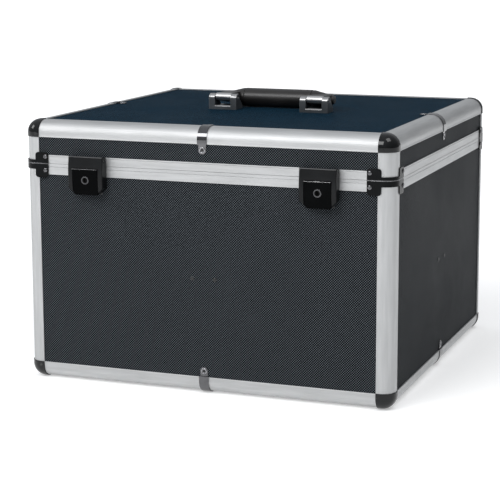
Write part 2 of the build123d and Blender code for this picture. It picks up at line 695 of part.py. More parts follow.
for side, latch_x in latch_places.items():
    # The hasp is a crowned cover, open at the back, whose legs straddle the flap
    with BuildPart() as hasp:
        with BuildSketch(latch_side(latch_x)):
            with BuildLine():
                Line((hasp_shoulder, latch_top), (hasp_top_reach, latch_top))
                ThreePointArc(
                    (hasp_top_reach, latch_top),
                    (hasp_crown_reach, -hasp_crown_drop),
                    (hasp_bottom_reach, -latch_bottom),
                )
                Polyline((hasp_bottom_reach, -latch_bottom), (latch_back, -latch_bottom), (latch_back, hasp_pin_up))
                RadiusArc((latch_back, hasp_pin_up), (hasp_shoulder, latch_top), hasp_round)
            make_face()
        extrude(amount=latch_width / 2, both=True)
        with BuildSketch(latch_face(latch_x, -latch_reach)):
            add(latch_outline())
        extrude(amount=3 * latch_reach, mode=Mode.INTERSECT)
        crown = hasp.faces().filter_by(GeomType.CYLINDER).sort_by(Axis.Y)[0]
        chamfer(crown.edges(), hasp_edge_bevel)
        with BuildSketch(latch_side(latch_x)):
            cavity_out = hasp_top_reach - hasp_wall
            cavity_up = latch_top - hasp_wall
            cavity_from = hasp_wall - hasp_sill
            with Locations((cavity_out / 2 - latch_back, (cavity_up + cavity_from) / 2)):
                Rectangle(cavity_out + 2 * latch_back, cavity_up - cavity_from)
        extrude(amount=latch_width / 2 - hasp_wall, both=True, mode=Mode.SUBTRACT)
        with BuildSketch(latch_face(latch_x, -latch_back)):
            window_from = -hasp_sill
            with Locations((0, (window_from - latch_bottom - hasp_wall) / 2)):
                Rectangle(2 * window_half, latch_bottom - hasp_sill + hasp_wall)
        extrude(amount=2 * latch_reach, mode=Mode.SUBTRACT)
        with BuildSketch(latch_face(latch_x, -latch_back)):
            with Locations((0, -hasp_sill / 2)):
                Rectangle(2 * window_half, 2 * hasp_sill)
        extrude(amount=hasp_pin_out + 2 * latch_back, mode=Mode.SUBTRACT)
        with BuildSketch(latch_face(latch_x, -latch_back)):
            with Locations((0, latch_top)):
                Rectangle(hasp_plate_width + 2 * flap_side_gap, 2 * hasp_pin_drop)
        extrude(amount=latch_back + hasp_pin_out, mode=Mode.SUBTRACT)
        with BuildSketch(latch_face(latch_x, -latch_back)):
            with Locations((-hasp_lug_offset, latch_top), (hasp_lug_offset, latch_top)):
                Rectangle(lug_thickness + 2 * flap_side_gap, 2 * hasp_pin_drop)
        extrude(amount=latch_back + hasp_pin_out + hasp_lug_radius, mode=Mode.SUBTRACT)
        with BuildSketch(latch_side(latch_x)):
            with Locations((hasp_pin_out, hasp_pin_up)):
                Circle(latch_pin_radius + pin_play)
        extrude(amount=latch_width, both=True, mode=Mode.SUBTRACT)
    hasp.part.label = f"hasp_{side}"
    export_step(hasp.part, f"parts/hasp_{side}.step")

    # The flap is a wedge-shaped shell that turns about a pin near its bottom and is pulled out at its top ledge
    with BuildPart() as lock_flap:
        with BuildSketch(latch_side(latch_x)):
            with BuildLine():
                Polyline(
                    (latch_back, flap_pin_up),
                    (flap_back_top, flap_top),
                    (flap_ledge_reach, flap_top),
                    (flap_bottom_reach, -latch_bottom),
                    (flap_pin_out, -latch_bottom),
                )
                RadiusArc((flap_pin_out, -latch_bottom), (latch_back, flap_pin_up), flap_pin_rise)
            make_face()
        extrude(amount=flap_width / 2, both=True)
        with BuildSketch(latch_face(latch_x, -latch_reach)):
            add(latch_outline())
        extrude(amount=3 * latch_reach, mode=Mode.INTERSECT)
        flap_front = lock_flap.faces().sort_by(Axis.Y)[0]
        chamfer(flap_front.edges(), flap_bevel)
        with BuildSketch(latch_side(latch_x)):
            with BuildLine():
                Polyline(
                    (-flap_ledge, flap_top - flap_wall),
                    (flap_ledge_reach - flap_wall, flap_top - flap_wall),
                    (flap_bottom_reach - flap_wall, -latch_bottom),
                    (flap_bottom_reach - flap_wall, -latch_bottom - flap_wall),
                    (-flap_ledge, -latch_bottom - flap_wall),
                    close=True,
                )
            make_face()
        extrude(amount=flap_width / 2 - flap_wall, both=True, mode=Mode.SUBTRACT)
        with BuildSketch(latch_face(latch_x, key_face - key_boss_depth)):
            with Locations((0, key_up)):
                Rectangle(key_boss_width, key_boss_width)
        extrude(amount=key_boss_depth - key_seat_depth)
        with BuildSketch(latch_face(latch_x, key_seat)):
            with Locations((0, key_up)):
                Circle(key_collar_radius + pin_play)
        extrude(amount=latch_reach, mode=Mode.SUBTRACT)
        with BuildSketch(latch_face(latch_x)):
            with Locations((0, key_up)):
                Circle(plug_radius + pin_play)
        extrude(amount=latch_reach, mode=Mode.SUBTRACT)
        with BuildSketch(latch_side(latch_x)):
            with Locations((flap_pin_out, flap_pin_up)):
                Circle(latch_pin_radius + pin_play)
        extrude(amount=latch_width, both=True, mode=Mode.SUBTRACT)
        bump_out = flap_ledge_reach - flap_bevel
        with BuildSketch(latch_face(latch_x, bump_out - finger_bump_depth)):
            with BuildLine():
                ThreePointArc(
                    (-finger_bump_width / 2, flap_top),
                    (0, flap_top + finger_bump_height),
                    (finger_bump_width / 2, flap_top),
                )
                Polyline(
                    (finger_bump_width / 2, flap_top),
                    (finger_bump_width / 2, flap_top - flap_wall / 2),
                    (-finger_bump_width / 2, flap_top - flap_wall / 2),
                    (-finger_bump_width / 2, flap_top),
                )
            make_face()
        extrude(amount=finger_bump_depth)
    lock_flap.part.label = f"lock_flap_{side}"
    export_step(lock_flap.part, f"parts/lock_flap_{side}.step")

    # The lock's plate is stepped: it sits on the closure band and, below it, on the panel
    with BuildPart() as lock_plate_body:
        with BuildSketch(latch_side(latch_x)):
            with BuildLine():
                Polyline(
                    (0, -lock_plate_top),
                    (lock_plate, -lock_plate_top),
                    (lock_plate, -base_band - lock_plate / 2),
                    (0, -base_band - lock_plate / 2),
                    (0, -latch_bottom),
                    (-edge_skin, -latch_bottom),
                    (-edge_skin, -base_band - seam_gap),
                    (0, -base_band - seam_gap),
                    close=True,
                )
            make_face()
        extrude(amount=flap_width / 2, both=True)
        for lug_x in (-lug_offset, lug_offset):
            with BuildSketch(latch_side(latch_x + lug_x)):
                add(lug_section(flap_pin_out, flap_pin_up, lug_radius, lug_radius, -edge_skin / 2))
            extrude(amount=lug_thickness / 2, both=True)
    lock_plate_body.part.label = f"lock_body_{side}"
    export_step(lock_plate_body.part, f"parts/lock_body_{side}.step")

    # The key cylinder: a plug with a collar and a keyhole at the front, and a cam at the back
    with BuildPart() as key_cylinder:
        with BuildSketch(latch_face(latch_x, cam_out)):
            with Locations((0, key_up)):
                Circle(plug_radius)
        extrude(amount=key_seat - cam_out)
        with BuildSketch(latch_face(latch_x, key_seat)):
            with Locations((0, key_up)):
                Circle(key_collar_radius)
        extrude(amount=key_collar_height)
        collar_front = key_cylinder.faces().sort_by(Axis.Y)[0]
        chamfer(collar_front.edges(), key_collar_height / 3)
        with BuildSketch(latch_face(latch_x, key_seat + key_collar_height - key_slot_depth)):
            with Locations((0, key_up)):
                Rectangle(key_slot_width, key_slot_length)
        extrude(amount=key_slot_depth, mode=Mode.SUBTRACT)
        with BuildSketch(latch_face(latch_x, cam_out)):
            with Locations((0, key_up - (cam_length - cam_width / 2) / 2)):
                Rectangle(cam_width, cam_length - cam_width / 2)
            with Locations((0, key_up - cam_length + cam_width / 2)):
                Circle(cam_width / 2)
        extrude(amount=cam_thickness)
    key_cylinder.part.label = f"key_cylinder_{side}"
    export_step(key_cylinder.part, f"parts/key_cylinder_{side}.step")

# Hinge plates of the two hasps, on the lid's closure band
with BuildPart() as hasp_hinge_plates:
    for latch_x in latch_places.values():
        with BuildSketch(latch_face(latch_x)):
            with Locations((0, (hasp_plate_rise + lid_band) / 2)):
                Rectangle(hasp_plate_width, lid_band - hasp_plate_rise)
        extrude(amount=lock_plate)
        for lug_x in (-hasp_lug_offset, hasp_lug_offset):
            with BuildSketch(latch_side(latch_x + lug_x)):
                add(lug_section(hasp_pin_out, hasp_pin_up, hasp_lug_radius, hasp_lug_web, lock_plate / 2))
            extrude(amount=lug_thickness / 2, both=True)
hasp_hinge_plates.part.label = "hasp_hinge_plates"
export_step(hasp_hinge_plates.part, "parts/hasp_hinge_plates.step")

with BuildPart() as hasp_pins:
    for latch_x in latch_places.values():
        with BuildSketch(latch_side(latch_x)):
            with Locations((hasp_pin_out, hasp_pin_up)):
                Circle(latch_pin_radius)
        extrude(amount=latch_width / 2 - hasp_wall / 2, both=True)
hasp_pins.part.label = "hasp_pins"
export_step(hasp_pins.part, "parts/hasp_pins.step")

with BuildPart() as flap_pins:
    for latch_x in latch_places.values():
        with BuildSketch(latch_side(latch_x)):
            with Locations((flap_pin_out, flap_pin_up)):
                Circle(latch_pin_radius)
        extrude(amount=flap_width / 2 - flap_wall / 4, both=True)
flap_pins.part.label = "flap_pins"
export_step(flap_pins.part, "parts/flap_pins.step")

# Rear hinges. In their sections X runs out from the back of the case and Y up from the seam.
hinge_places = (hinge_inset - half_width, half_width - hinge_inset)
knuckle_length = hinge_width / hinge_knuckles


def hinge_plane(x):
    """Upright plane through a hinge, X out from the back of the case and Y up from the seam."""
    return Plane(origin=(x, back_y, seam_z), x_dir=(0, 1, 0), z_dir=(1, 0, 0))


def hinge_leaf_section(way, band, length):
    """A leaf that lies on the closure band and steps down onto the panel past it."""
    start = way * hinge_knuckle_radius
    bend = way * (band + seam_gap)
    end = way * length
    with BuildSketch() as leaf:
        with BuildLine():
            Polyline(
                (0, start),
                (hinge_metal, start),
                (hinge_metal, bend + way * hinge_metal),
                (hinge_metal - edge_skin, bend + way * 2 * hinge_metal),
                (hinge_metal - edge_skin, end),
                (-edge_skin, end),
                (-edge_skin, bend + way * hinge_metal / 2),
                (0, bend),
                close=True,
            )
        make_face()
    return leaf.sketch


def heel_section():
    """The stop heel: a short lug that meets the base leaf when the lid stands fully open."""
    with BuildSketch() as heel:
        with Locations((hinge_heel_thickness / 2 - hinge_heel_line, -hinge_heel_end / 2)):
            Rectangle(hinge_heel_thickness, hinge_heel_end)
    return heel.sketch


for leaf_name, way, band, leaf_length, first_knuckle in (
    ("hinge_base_leaves", -1, base_band, hinge_base_leaf, 0),
    ("hinge_lid_leaves", 1, lid_band, hinge_lid_leaf, 1),
):
    with BuildPart() as hinge_leaves:
        for hinge_x in hinge_places:
            with BuildSketch(hinge_plane(hinge_x)):
                add(hinge_leaf_section(way, band, leaf_length))
            extrude(amount=hinge_width / 2, both=True)
            for knuckle in range(first_knuckle, hinge_knuckles, 2):
                knuckle_x = hinge_x - hinge_width / 2 + (knuckle + 0.5) * knuckle_length
                with BuildSketch(hinge_plane(knuckle_x)):
                    with Locations((hinge_axis_out, 0)):
                        Circle(hinge_knuckle_radius)
                    with Locations((hinge_metal / 2, way * (hinge_knuckle_radius + hinge_metal) / 2)):
                        Rectangle(hinge_metal, hinge_knuckle_radius + hinge_metal)
                    if way > 0:
                        with Locations(Location((hinge_axis_out, 0), lid_opening)):
                            add(heel_section())
                    with Locations((hinge_axis_out, 0)):
                        Circle(hinge_pin_radius + pin_play, mode=Mode.SUBTRACT)
                extrude(amount=(knuckle_length - hinge_knuckle_gap) / 2, both=True)
    hinge_leaves.part.label = leaf_name
    export_step(hinge_leaves.part, f"parts/{leaf_name}.step")

with BuildPart() as hinge_pins:
    for hinge_x in hinge_places:
        with BuildSketch(hinge_plane(hinge_x)):
            with Locations((hinge_axis_out, 0)):
                Circle(hinge_pin_radius)
        extrude(amount=hinge_width / 2, both=True)
hinge_pins.part.label = "hinge_pins"
export_step(hinge_pins.part, "parts/hinge_pins.step")

# Carrying handle: two cast brackets, their pins and a moulded grip that lies back on the lid
handle_pin_y = handle_y + handle_pin_from_front
handle_pin_z = deck_z + handle_pin_height
handle_ear_shoulder = handle_ear_top - handle_pin_from_front
grip_drop = handle_pin_height - grip_radius - grip_rest_gap
handle_run = math.sqrt(handle_arm**2 - grip_drop**2)
grip_y = handle_pin_y + handle_run
grip_z = handle_pin_z - grip_drop


def handle_side(x):
    """Upright plane through the handle, X towards the back of the case and Y up from the lid's deck."""
    return Plane(origin=(x, handle_y, deck_z), x_dir=(0, 1, 0), z_dir=(1, 0, 0))


for side, bracket_side in (("left", -1), ("right", 1)):
    bracket_x = handle_x + bracket_side * bracket_offset
    with BuildPart() as handle_bracket:
        with BuildSketch(handle_side(bracket_x)):
            with BuildLine():
                Line((0, 0), (0, handle_ear_shoulder))
                ThreePointArc(
                    (0, handle_ear_shoulder),
                    (handle_pin_from_front, handle_ear_top),
                    (2 * handle_pin_from_front, handle_ear_shoulder),
                )
                Polyline(
                    (2 * handle_pin_from_front, handle_ear_shoulder),
                    (handle_bracket_depth, handle_sill),
                    (handle_bracket_depth, 0),
                    (0, 0),
                )
            make_face()
        extrude(amount=handle_bracket_width / 2, both=True)
        outer_edges = handle_bracket.faces().filter_by(Axis.X).edges()
        outer_edges = outer_edges.filter_by(lambda edge: edge.center().Z > deck_z + handle_edge_bevel)
        chamfer(outer_edges, handle_edge_bevel)
        with BuildSketch(handle_side(bracket_x)):
            with BuildLine():
                Polyline(
                    (-handle_sill, handle_sill - 2 * handle_sill_bevel),
                    (0, handle_sill - handle_sill_bevel),
                    (handle_sill_bevel, handle_sill),
                    (2 * handle_bracket_depth, handle_sill),
                    (2 * handle_bracket_depth, 2 * handle_ear_top),
                    (-handle_sill, 2 * handle_ear_top),
                    close=True,
                )
            make_face()
        extrude(amount=handle_bracket_width / 2 - handle_ear, both=True, mode=Mode.SUBTRACT)
        with BuildSketch(handle_side(bracket_x)):
            with Locations((handle_pin_from_front, handle_pin_height)):
                Circle(handle_pin_radius + pin_play)
        extrude(amount=handle_bracket_width, both=True, mode=Mode.SUBTRACT)
    handle_bracket.part.label = f"handle_bracket_{side}"
    export_step(handle_bracket.part, f"parts/handle_bracket_{side}.step")

with BuildPart() as handle_pins:
    for bracket_side in (-1, 1):
        with BuildSketch(handle_side(handle_x + bracket_side * bracket_offset)):
            with Locations((handle_pin_from_front, handle_pin_height)):
                Circle(handle_pin_radius)
        extrude(amount=handle_bracket_width / 2 - handle_edge_bevel, both=True)
handle_pins.part.label = "handle_pins"
export_step(handle_pins.part, "parts/handle_pins.step")

with BuildPart() as handle_grip:
    grip_plane = Plane(origin=(handle_x, grip_y, grip_z), x_dir=(1, 0, 0), z_dir=(0, -1, 0))
    with BuildSketch(grip_plane):
        groove_to = grip_barrel + grip_groove
        with BuildLine():
            Polyline(
                (0, 0),
                (0, grip_radius),
                (grip_barrel, grip_radius),
                (grip_barrel + grip_groove / 2, grip_radius - grip_groove_depth),
                (groove_to, grip_collar_radius),
                (groove_to + grip_collar, grip_collar_radius),
                (grip_half_length, grip_end_radius),
                (grip_half_length, 0),
                close=True,
            )
        make_face()
    revolve(axis=Axis((handle_x, grip_y, grip_z), (1, 0, 0)), revolution_arc=360)
    mirror(about=Plane.YZ.offset(handle_x))
    for bracket_side in (-1, 1):
        arm_x = handle_x + bracket_side * bracket_offset
        with BuildSketch(handle_side(arm_x)):
            with Locations((handle_pin_from_front, handle_pin_height)):
                Circle(handle_eye_radius)
            with Locations((handle_pin_from_front + handle_run, handle_pin_height - grip_drop)):
                Circle(handle_root_radius)
            make_hull()
        extrude(amount=handle_arm_width / 2, both=True)
    with BuildSketch(handle_side(handle_x)):
        with Locations((handle_pin_from_front, handle_pin_height)):
            Circle(handle_pin_radius + pin_play)
    extrude(amount=grip_half_length, both=True, mode=Mode.SUBTRACT)
handle_grip.part.label = "handle_grip"
export_step(handle_grip.part, "parts/handle_grip.step")
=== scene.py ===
"""Flight case: finishes, foam lining, small fasteners and the studio stage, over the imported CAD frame."""

import math
from fnmatch import fnmatch

import bpy
import numpy as np
from bpy.props import FloatProperty, FloatVectorProperty, IntProperty, PointerProperty
from mathutils import Matrix, Vector


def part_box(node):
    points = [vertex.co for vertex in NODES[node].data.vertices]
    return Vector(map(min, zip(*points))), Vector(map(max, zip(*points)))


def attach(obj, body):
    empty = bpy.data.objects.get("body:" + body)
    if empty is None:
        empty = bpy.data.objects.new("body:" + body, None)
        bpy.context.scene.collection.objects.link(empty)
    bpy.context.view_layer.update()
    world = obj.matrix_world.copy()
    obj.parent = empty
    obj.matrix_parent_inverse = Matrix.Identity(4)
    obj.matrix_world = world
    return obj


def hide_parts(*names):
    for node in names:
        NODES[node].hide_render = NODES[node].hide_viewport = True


bl_info = {
    "name": "Flight case",
    "version": (1, 0, 0),
    "blender": (4, 5, 0),
    "location": "View3D > Sidebar > Flight case",
    "description": "Dresses the packed flight case with finishes, foam, fasteners and a studio stage",
    "category": "Object",
}

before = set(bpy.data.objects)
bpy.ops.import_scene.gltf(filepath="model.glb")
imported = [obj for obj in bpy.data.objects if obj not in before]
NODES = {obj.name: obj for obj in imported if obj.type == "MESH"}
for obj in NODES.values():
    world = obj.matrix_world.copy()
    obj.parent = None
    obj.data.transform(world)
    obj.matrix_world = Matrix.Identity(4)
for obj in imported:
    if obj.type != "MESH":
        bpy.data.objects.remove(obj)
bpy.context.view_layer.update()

MM = 0.001
X, Y, Z = range(3)

# Planes of the case, read from the frame: the lid's closure profile lies a little above the seam, and the
# ball corners stand a little out of the profiles
LID_ABOVE_SEAM = 0.2 * MM
BALL_PROUD = 1.2 * MM
SEAM_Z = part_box("lid_closure_frame")[0].z - LID_ABOVE_SEAM
HALF_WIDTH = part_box("base_closure_frame")[1].x
FRONT_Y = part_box("base_closure_frame")[0].y
BACK_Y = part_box("base_closure_frame")[1].y
MID_Y = (FRONT_Y + BACK_Y) / 2
BOTTOM_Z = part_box("bottom_ball_corners")[0].z + BALL_PROUD
TOP_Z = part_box("top_ball_corners")[1].z - BALL_PROUD

# How far faces lie from these planes: those of panels and straps inside them, those of brackets outside
PANEL_SKIN = 1.6 * MM
STRAP_SKIN = 0.65 * MM
BRACKET_SKIN = 1.65 * MM

# Other sizes of the CAD pieces that the scene keeps to
HINGE_WIDTH = 62 * MM
PAD_THICKNESS = 8 * MM
PAD_GAP = 0.3 * MM
PAD_FROM_MIDDLE = 24.3 * MM
PLY_LAYER = 1.4 * MM
HANDLE_EYE = 5.5 * MM
KEY_FACE = 3.7 * MM

# How far a fastener's underside sinks into the face below it
SINK = 0.05 * MM

# Each wall of the case: where its outer plane stands, and the way it faces
WALLS = (
    (Vector((0, FRONT_Y, 0)), Vector((0, -1, 0))),
    (Vector((0, BACK_Y, 0)), Vector((0, 1, 0))),
    (Vector((-HALF_WIDTH, MID_Y, 0)), Vector((-1, 0, 0))),
    (Vector((HALF_WIDTH, MID_Y, 0)), Vector((1, 0, 0))),
)

# The finish of each CAD node, beside the first pattern that its name fits
FINISH_OF = (
    ("*_front_panel", "Laminate front"),
    ("*_back_panel", "Laminate front"),
    ("*_left_panel", "Laminate side"),
    ("*_right_panel", "Laminate side"),
    ("*_panel", "Laminate flat"),
    ("divider_long", "Divider long"),
    ("divider_cross", "Divider cross"),
    ("divider_channels", "Aluminium upright"),
    ("*_corner_posts", "Aluminium upright"),
    ("*_closure_frame", "Aluminium band"),
    ("*_edge_clips", "Bright plate"),
    ("*_edge_front", "Aluminium across"),
    ("*_edge_back", "Aluminium across"),
    ("*_edge_*", "Aluminium deep"),
    ("*_seam_brackets", "Bracket black"),
    ("*_ball_corners", "Ball corner"),
    ("*_foam", "Foam"),
    ("*_pins", "Zinc"),
    ("handle_backing_plate", "Zinc"),
    ("handle_bracket_*", "Handle bracket"),
    ("handle_grip", "Handle black"),
    ("key_cylinder_*", "Key plug"),
    ("lock_flap_*", "Flap black"),
    ("hasp_left", "Latch black"),
    ("hasp_right", "Latch black"),
    ("*", "Black coat"),
)

# Each soft box of the studio: its name, its place, the setting that holds its power, and its width
LAMPS = (
    ("Key light", (-0.7, -2.7, 2.4), "key_power", 1.5),
    ("Right light", (1.1, -0.7, 2.4), "side_power", 1.1),
    ("Left light", (-2.2, -1.1, 1.7), "side_power", 0.9),
)
LAMP_TARGET = (0, 0, 0.2)

# The photograph's camera: its place from the middle of the case's foot in metres, its turn, tip and roll in
# degrees, the shift of its picture and the width of its sensor in millimetres
CAMERA_PLACE = (0.8366, -2.2797, 0.6302)
CAMERA_TURN, CAMERA_TIP, CAMERA_ROLL = 20.154, -10.178, -0.085
CAMERA_SHIFT = (-0.0368, -0.0522)
SENSOR_WIDTH = 36.0

# Half the width of the floor, in metres
FLOOR_HALF = 40.0

# Points of loose triangles are joined within the distance, and edges are shaded smooth below the angle
JOIN_WITHIN = 0.002 * MM
SMOOTH_BELOW = math.radians(27)


class Value:
    """A number or colour that runs through a node tree; arithmetic on it adds Math nodes."""

    def __init__(self, nodes, socket):
        self.nodes = nodes
        self.socket = socket

    def _math(self, operation, first, second=None):
        inputs = {0: first} if second is None else {0: first, 1: second}
        return self.nodes.node("ShaderNodeMath", {"operation": operation}, inputs, 0)

    def __add__(self, other):
        return self._math("ADD", self, other)

    __radd__ = __add__

    def __sub__(self, other):
        return self._math("SUBTRACT", self, other)

    def __rsub__(self, other):
        return self._math("SUBTRACT", other, self)

    def __mul__(self, other):
        return self._math("MULTIPLY", self, other)

    __rmul__ = __mul__

    def __pow__(self, other):
        return self._math("POWER", self, other)

    def __gt__(self, other):
        return self._math("GREATER_THAN", self, other)

    def sine(self):
        """The sine, of an angle in radians."""
        return self._math("SINE", self)

    def size(self):
        """The number without its sign."""
        return self._math("ABSOLUTE", self)

    def most(self, other):
        """The greater of two numbers."""
        return self._math("MAXIMUM", self, other)

    def ramp(self, low, high):
        """0 below low, 1 above high, smooth between them."""
        settings = {"interpolation_type": "SMOOTHSTEP"}
        inputs = {"Value": self, "From Min": low, "From Max": high}
        return self.nodes.node("ShaderNodeMapRange", settings, inputs, "Result")


class Nodes:
    """A node tree being built: every node is added by one method, which returns a value to go on with."""

    def __init__(self, tree):
        self.tree = tree
        tree.nodes.clear()

    @staticmethod
    def find(sockets, key):
        """The enabled socket of that name, or the one at that index."""
        if isinstance(key, int):
            return sockets[key]
        return next(socket for socket in sockets if socket.enabled and socket.name == key)

    def node(self, kind, settings, inputs, output=None):
        """Adds a node: its settings first, then the values or links of its sockets. Returns one of its
        outputs, or nothing for the node that ends the tree."""
        node = self.tree.nodes.new(kind)
        for key, value in settings.items():
            setattr(node, key, value)
        for key, value in inputs.items():
            socket = self.find(node.inputs, key)
            if isinstance(value, Value):
                self.tree.links.new(value.socket, socket)
            else:
                socket.default_value = value
        return None if output is None else Value(self, self.find(node.outputs, output))

    def sibling(self, value, output):
        """Another output of the node that a value comes from."""
        return Value(self, self.find(value.socket.node.outputs, output))

    def axes(self, vector):
        """The three coordinates of a vector."""
        first = self.node("ShaderNodeSeparateXYZ", {}, {"Vector": vector}, "X")
        return [first, self.sibling(first, "Y"), self.sibling(first, "Z")]

    def mix(self, factor, first, second):
        """A colour between two colours."""
        inputs = {"Factor": factor, "A": (*first, 1.0) if isinstance(first, tuple) else first}
        inputs["B"] = (*second, 1.0) if isinstance(second, tuple) else second
        return self.node("ShaderNodeMix", {"data_type": "RGBA"}, inputs, "Result")


class Paint(Nodes):
    """A material being mixed: its node tree, its shader and the object's own coordinates."""

    def __init__(self, name, **constants):
        self.material = bpy.data.materials.new(name)
        self.material.use_nodes = True
        super().__init__(self.material.node_tree)
        named = {key.replace("_", " "): value for key, value in constants.items()}
        surface = self.node("ShaderNodeBsdfPrincipled", {}, named, "BSDF")
        self.node("ShaderNodeOutputMaterial", {}, {"Surface": surface})
        self.shader = surface.socket.node
        self.place = self.node("ShaderNodeTexCoord", {}, {}, "Object")
        self.facing = self.sibling(self.place, "Normal")

    def feed(self, **inputs):
        """Links values to the shader's sockets."""
        for key, value in inputs.items():
            self.tree.links.new(value.socket, self.shader.inputs[key.replace("_", " ")])
        return self.material

    def noise(self, scale, detail, vector=None):
        """Soft noise between 0 and 1."""
        inputs = {"Vector": vector or self.place, "Scale": scale, "Detail": detail}
        return self.node("ShaderNodeTexNoise", {}, inputs, 0)

    def stretched_noise(self, scales, detail=2.0, fineness=1.0):
        """Noise whose scale differs between the axes, for grain that runs one way."""
        vector = self.node("ShaderNodeMapping", {}, {"Vector": self.place, "Scale": scales}, "Vector")
        return self.noise(fineness, detail, vector)

    def grain(self, axis, across, along):
        """Noise drawn out along one axis."""
        return self.stretched_noise([along if other == axis else across for other in (X, Y, Z)])

    def cells(self, scale):
        """The distance from the middle of the nearest of many scattered cells."""
        return self.node("ShaderNodeTexVoronoi", {}, {"Vector": self.place, "Scale": scale}, "Distance")

    def rounded(self, radius):
        """The normal with the solid's edges rounded over."""
        return self.node("ShaderNodeBevel", {"samples": 6}, {"Radius": radius}, "Normal")

    def edges(self, radius):
        """1 on the edges of the solid, within a radius of them, where a coat is rubbed first."""
        hard = self.node("ShaderNodeNewGeometry", {}, {}, "Normal")
        inputs = {0: self.rounded(radius), 1: hard}
        flatness = self.node("ShaderNodeVectorMath", {"operation": "DOT_PRODUCT"}, inputs, "Value")
        return (1.0 - flatness).ramp(0.005, 0.06)

    def upper_slopes(self):
        """1 on chamfers and rounded edges that look up and outwards, where a highlight of the light above is
        painted.
        """
        up = self.axes(self.facing)[Z]
        return up.ramp(0.25, 0.45) * (1.0 - up.ramp(0.85, 0.97))

    def bump(self, height, distance, edge=0.0):
        """A bumped normal. With an edge radius, the solid's edges look rounded over too."""
        inputs = {"Height": height, "Distance": distance}
        if edge > 0:
            inputs["Normal"] = self.rounded(edge)
        return self.node("ShaderNodeBump", {}, inputs, "Normal")

    def seen_plainly(self):
        """1 for rays from the camera, from a reflection or through glass, and 0 for rays that only light."""
        camera = self.node("ShaderNodeLightPath", {}, {}, "Is Camera Ray")
        glossy = self.sibling(camera, "Is Glossy Ray")
        return camera.most(glossy).most(self.sibling(camera, "Is Transmission Ray"))


def shade(colour, factor):
    """A colour made darker or lighter by a factor."""
    return tuple(min(channel * factor, 1.0) for channel in colour)


def laminate(name, across, up, colour, settings, top_edge_ply=False, gloss=0.02):
    """Black laminate with fine raised dots on the diagonal. The dots are the product of two sine waves, one
    along each axis of the panel, and are painted much lighter than the laminate between them as painted
    glints.
    Faint smears vary the gloss. The top edge can show layers of ply."""
    paint = Paint(name, Specular_IOR_Level=gloss)
    spots = paint.axes(paint.place)
    wave = math.pi * math.sqrt(2) / settings.emboss_pitch
    dots = ((spots[across] * wave).sine() * (spots[up] * wave).sine()).ramp(-0.1, 0.9)
    smears = paint.noise(scale=9.0, detail=4.0)
    cloth = paint.noise(scale=55.0, detail=2.0)
    # Painted glints: the raised dots are painted far lighter than the laminate between them
    between_dots, painted_glint_on_dots = shade(colour, 0.01), shade(colour, 3.9)
    base = paint.mix(dots, between_dots, painted_glint_on_dots)
    base = paint.mix(smears.ramp(0.55, 0.8) * 0.25, base, shade(colour, 1.4))
    roughness = 0.5 + (smears - 0.5) * 0.18 - dots * 0.08 + (cloth - 0.5) * 0.05
    if top_edge_ply:
        through = spots[3 - across - up]
        layers = (through * (2 * math.pi / PLY_LAYER)).sine().ramp(-0.3, 0.3)
        fibre = paint.stretched_noise((1.0, 1.0, 12.0), detail=3.0, fineness=60.0)
        dark_ply, pale_ply = (0.20, 0.12, 0.06), (0.42, 0.29, 0.17)
        ply = paint.mix(layers * 0.6 + fibre * 0.4, dark_ply, pale_ply)
        on_top = paint.axes(paint.facing)[Z] > 0.7
        base = paint.mix(on_top, base, ply)
        roughness = roughness + on_top * 0.25
    height = dots + smears * 0.05
    return paint.feed(Base_Color=base, Roughness=roughness, Normal=paint.bump(height, settings.emboss_depth))


def aluminium(name, along, settings, turn_on_sides=False):
    """Satin anodised profile: fine die lines run along its length, with a few handling marks. Where lengths
    run both ways in one node, the lines on the walls that face left and right run along Y."""
    paint = Paint(name, Metallic=1.0)
    fine_scales, broad_scales = (1400.0, 6.0), (160.0, 14.0)
    lines = paint.grain(along, *fine_scales)
    broad = paint.grain(along, *broad_scales)
    if turn_on_sides:
        on_side = paint.axes(paint.facing)[X].size() > 0.7
        lines = lines * (1.0 - on_side) + paint.grain(Y, *fine_scales) * on_side
        broad = broad * (1.0 - on_side) + paint.grain(Y, *broad_scales) * on_side
    marks = paint.noise(scale=30.0, detail=5.0)
    colour = tuple(settings.aluminium_colour)
    base = paint.mix(broad.ramp(0.3, 0.75), shade(colour, 0.93), shade(colour, 1.04))
    base = paint.mix(marks.ramp(0.62, 0.78) * 0.3, base, shade(colour, 0.82))
    roughness = 0.56 + (lines - 0.5) * 0.22 + (marks - 0.5) * 0.10
    normal = paint.bump(lines, 0.02 * MM, edge=0.25 * MM)
    return paint.feed(Base_Color=base, Roughness=roughness, Normal=normal)


def plated(name, colour, roughness_level):
    """Plated metal with faint pits and wiping marks."""
    paint = Paint(name, Metallic=1.0)
    marks = paint.noise(scale=120.0, detail=4.0)
    wipes = paint.grain(Z, 300.0, 40.0)
    base = paint.mix(marks.ramp(0.45, 0.8), colour, shade(colour, 0.78))
    roughness = roughness_level + (wipes - 0.5) * 0.06 + (marks - 0.5) * 0.05
    normal = paint.bump(marks, 0.01 * MM, edge=0.2 * MM)
    return paint.feed(Base_Color=base, Roughness=roughness, Normal=normal)


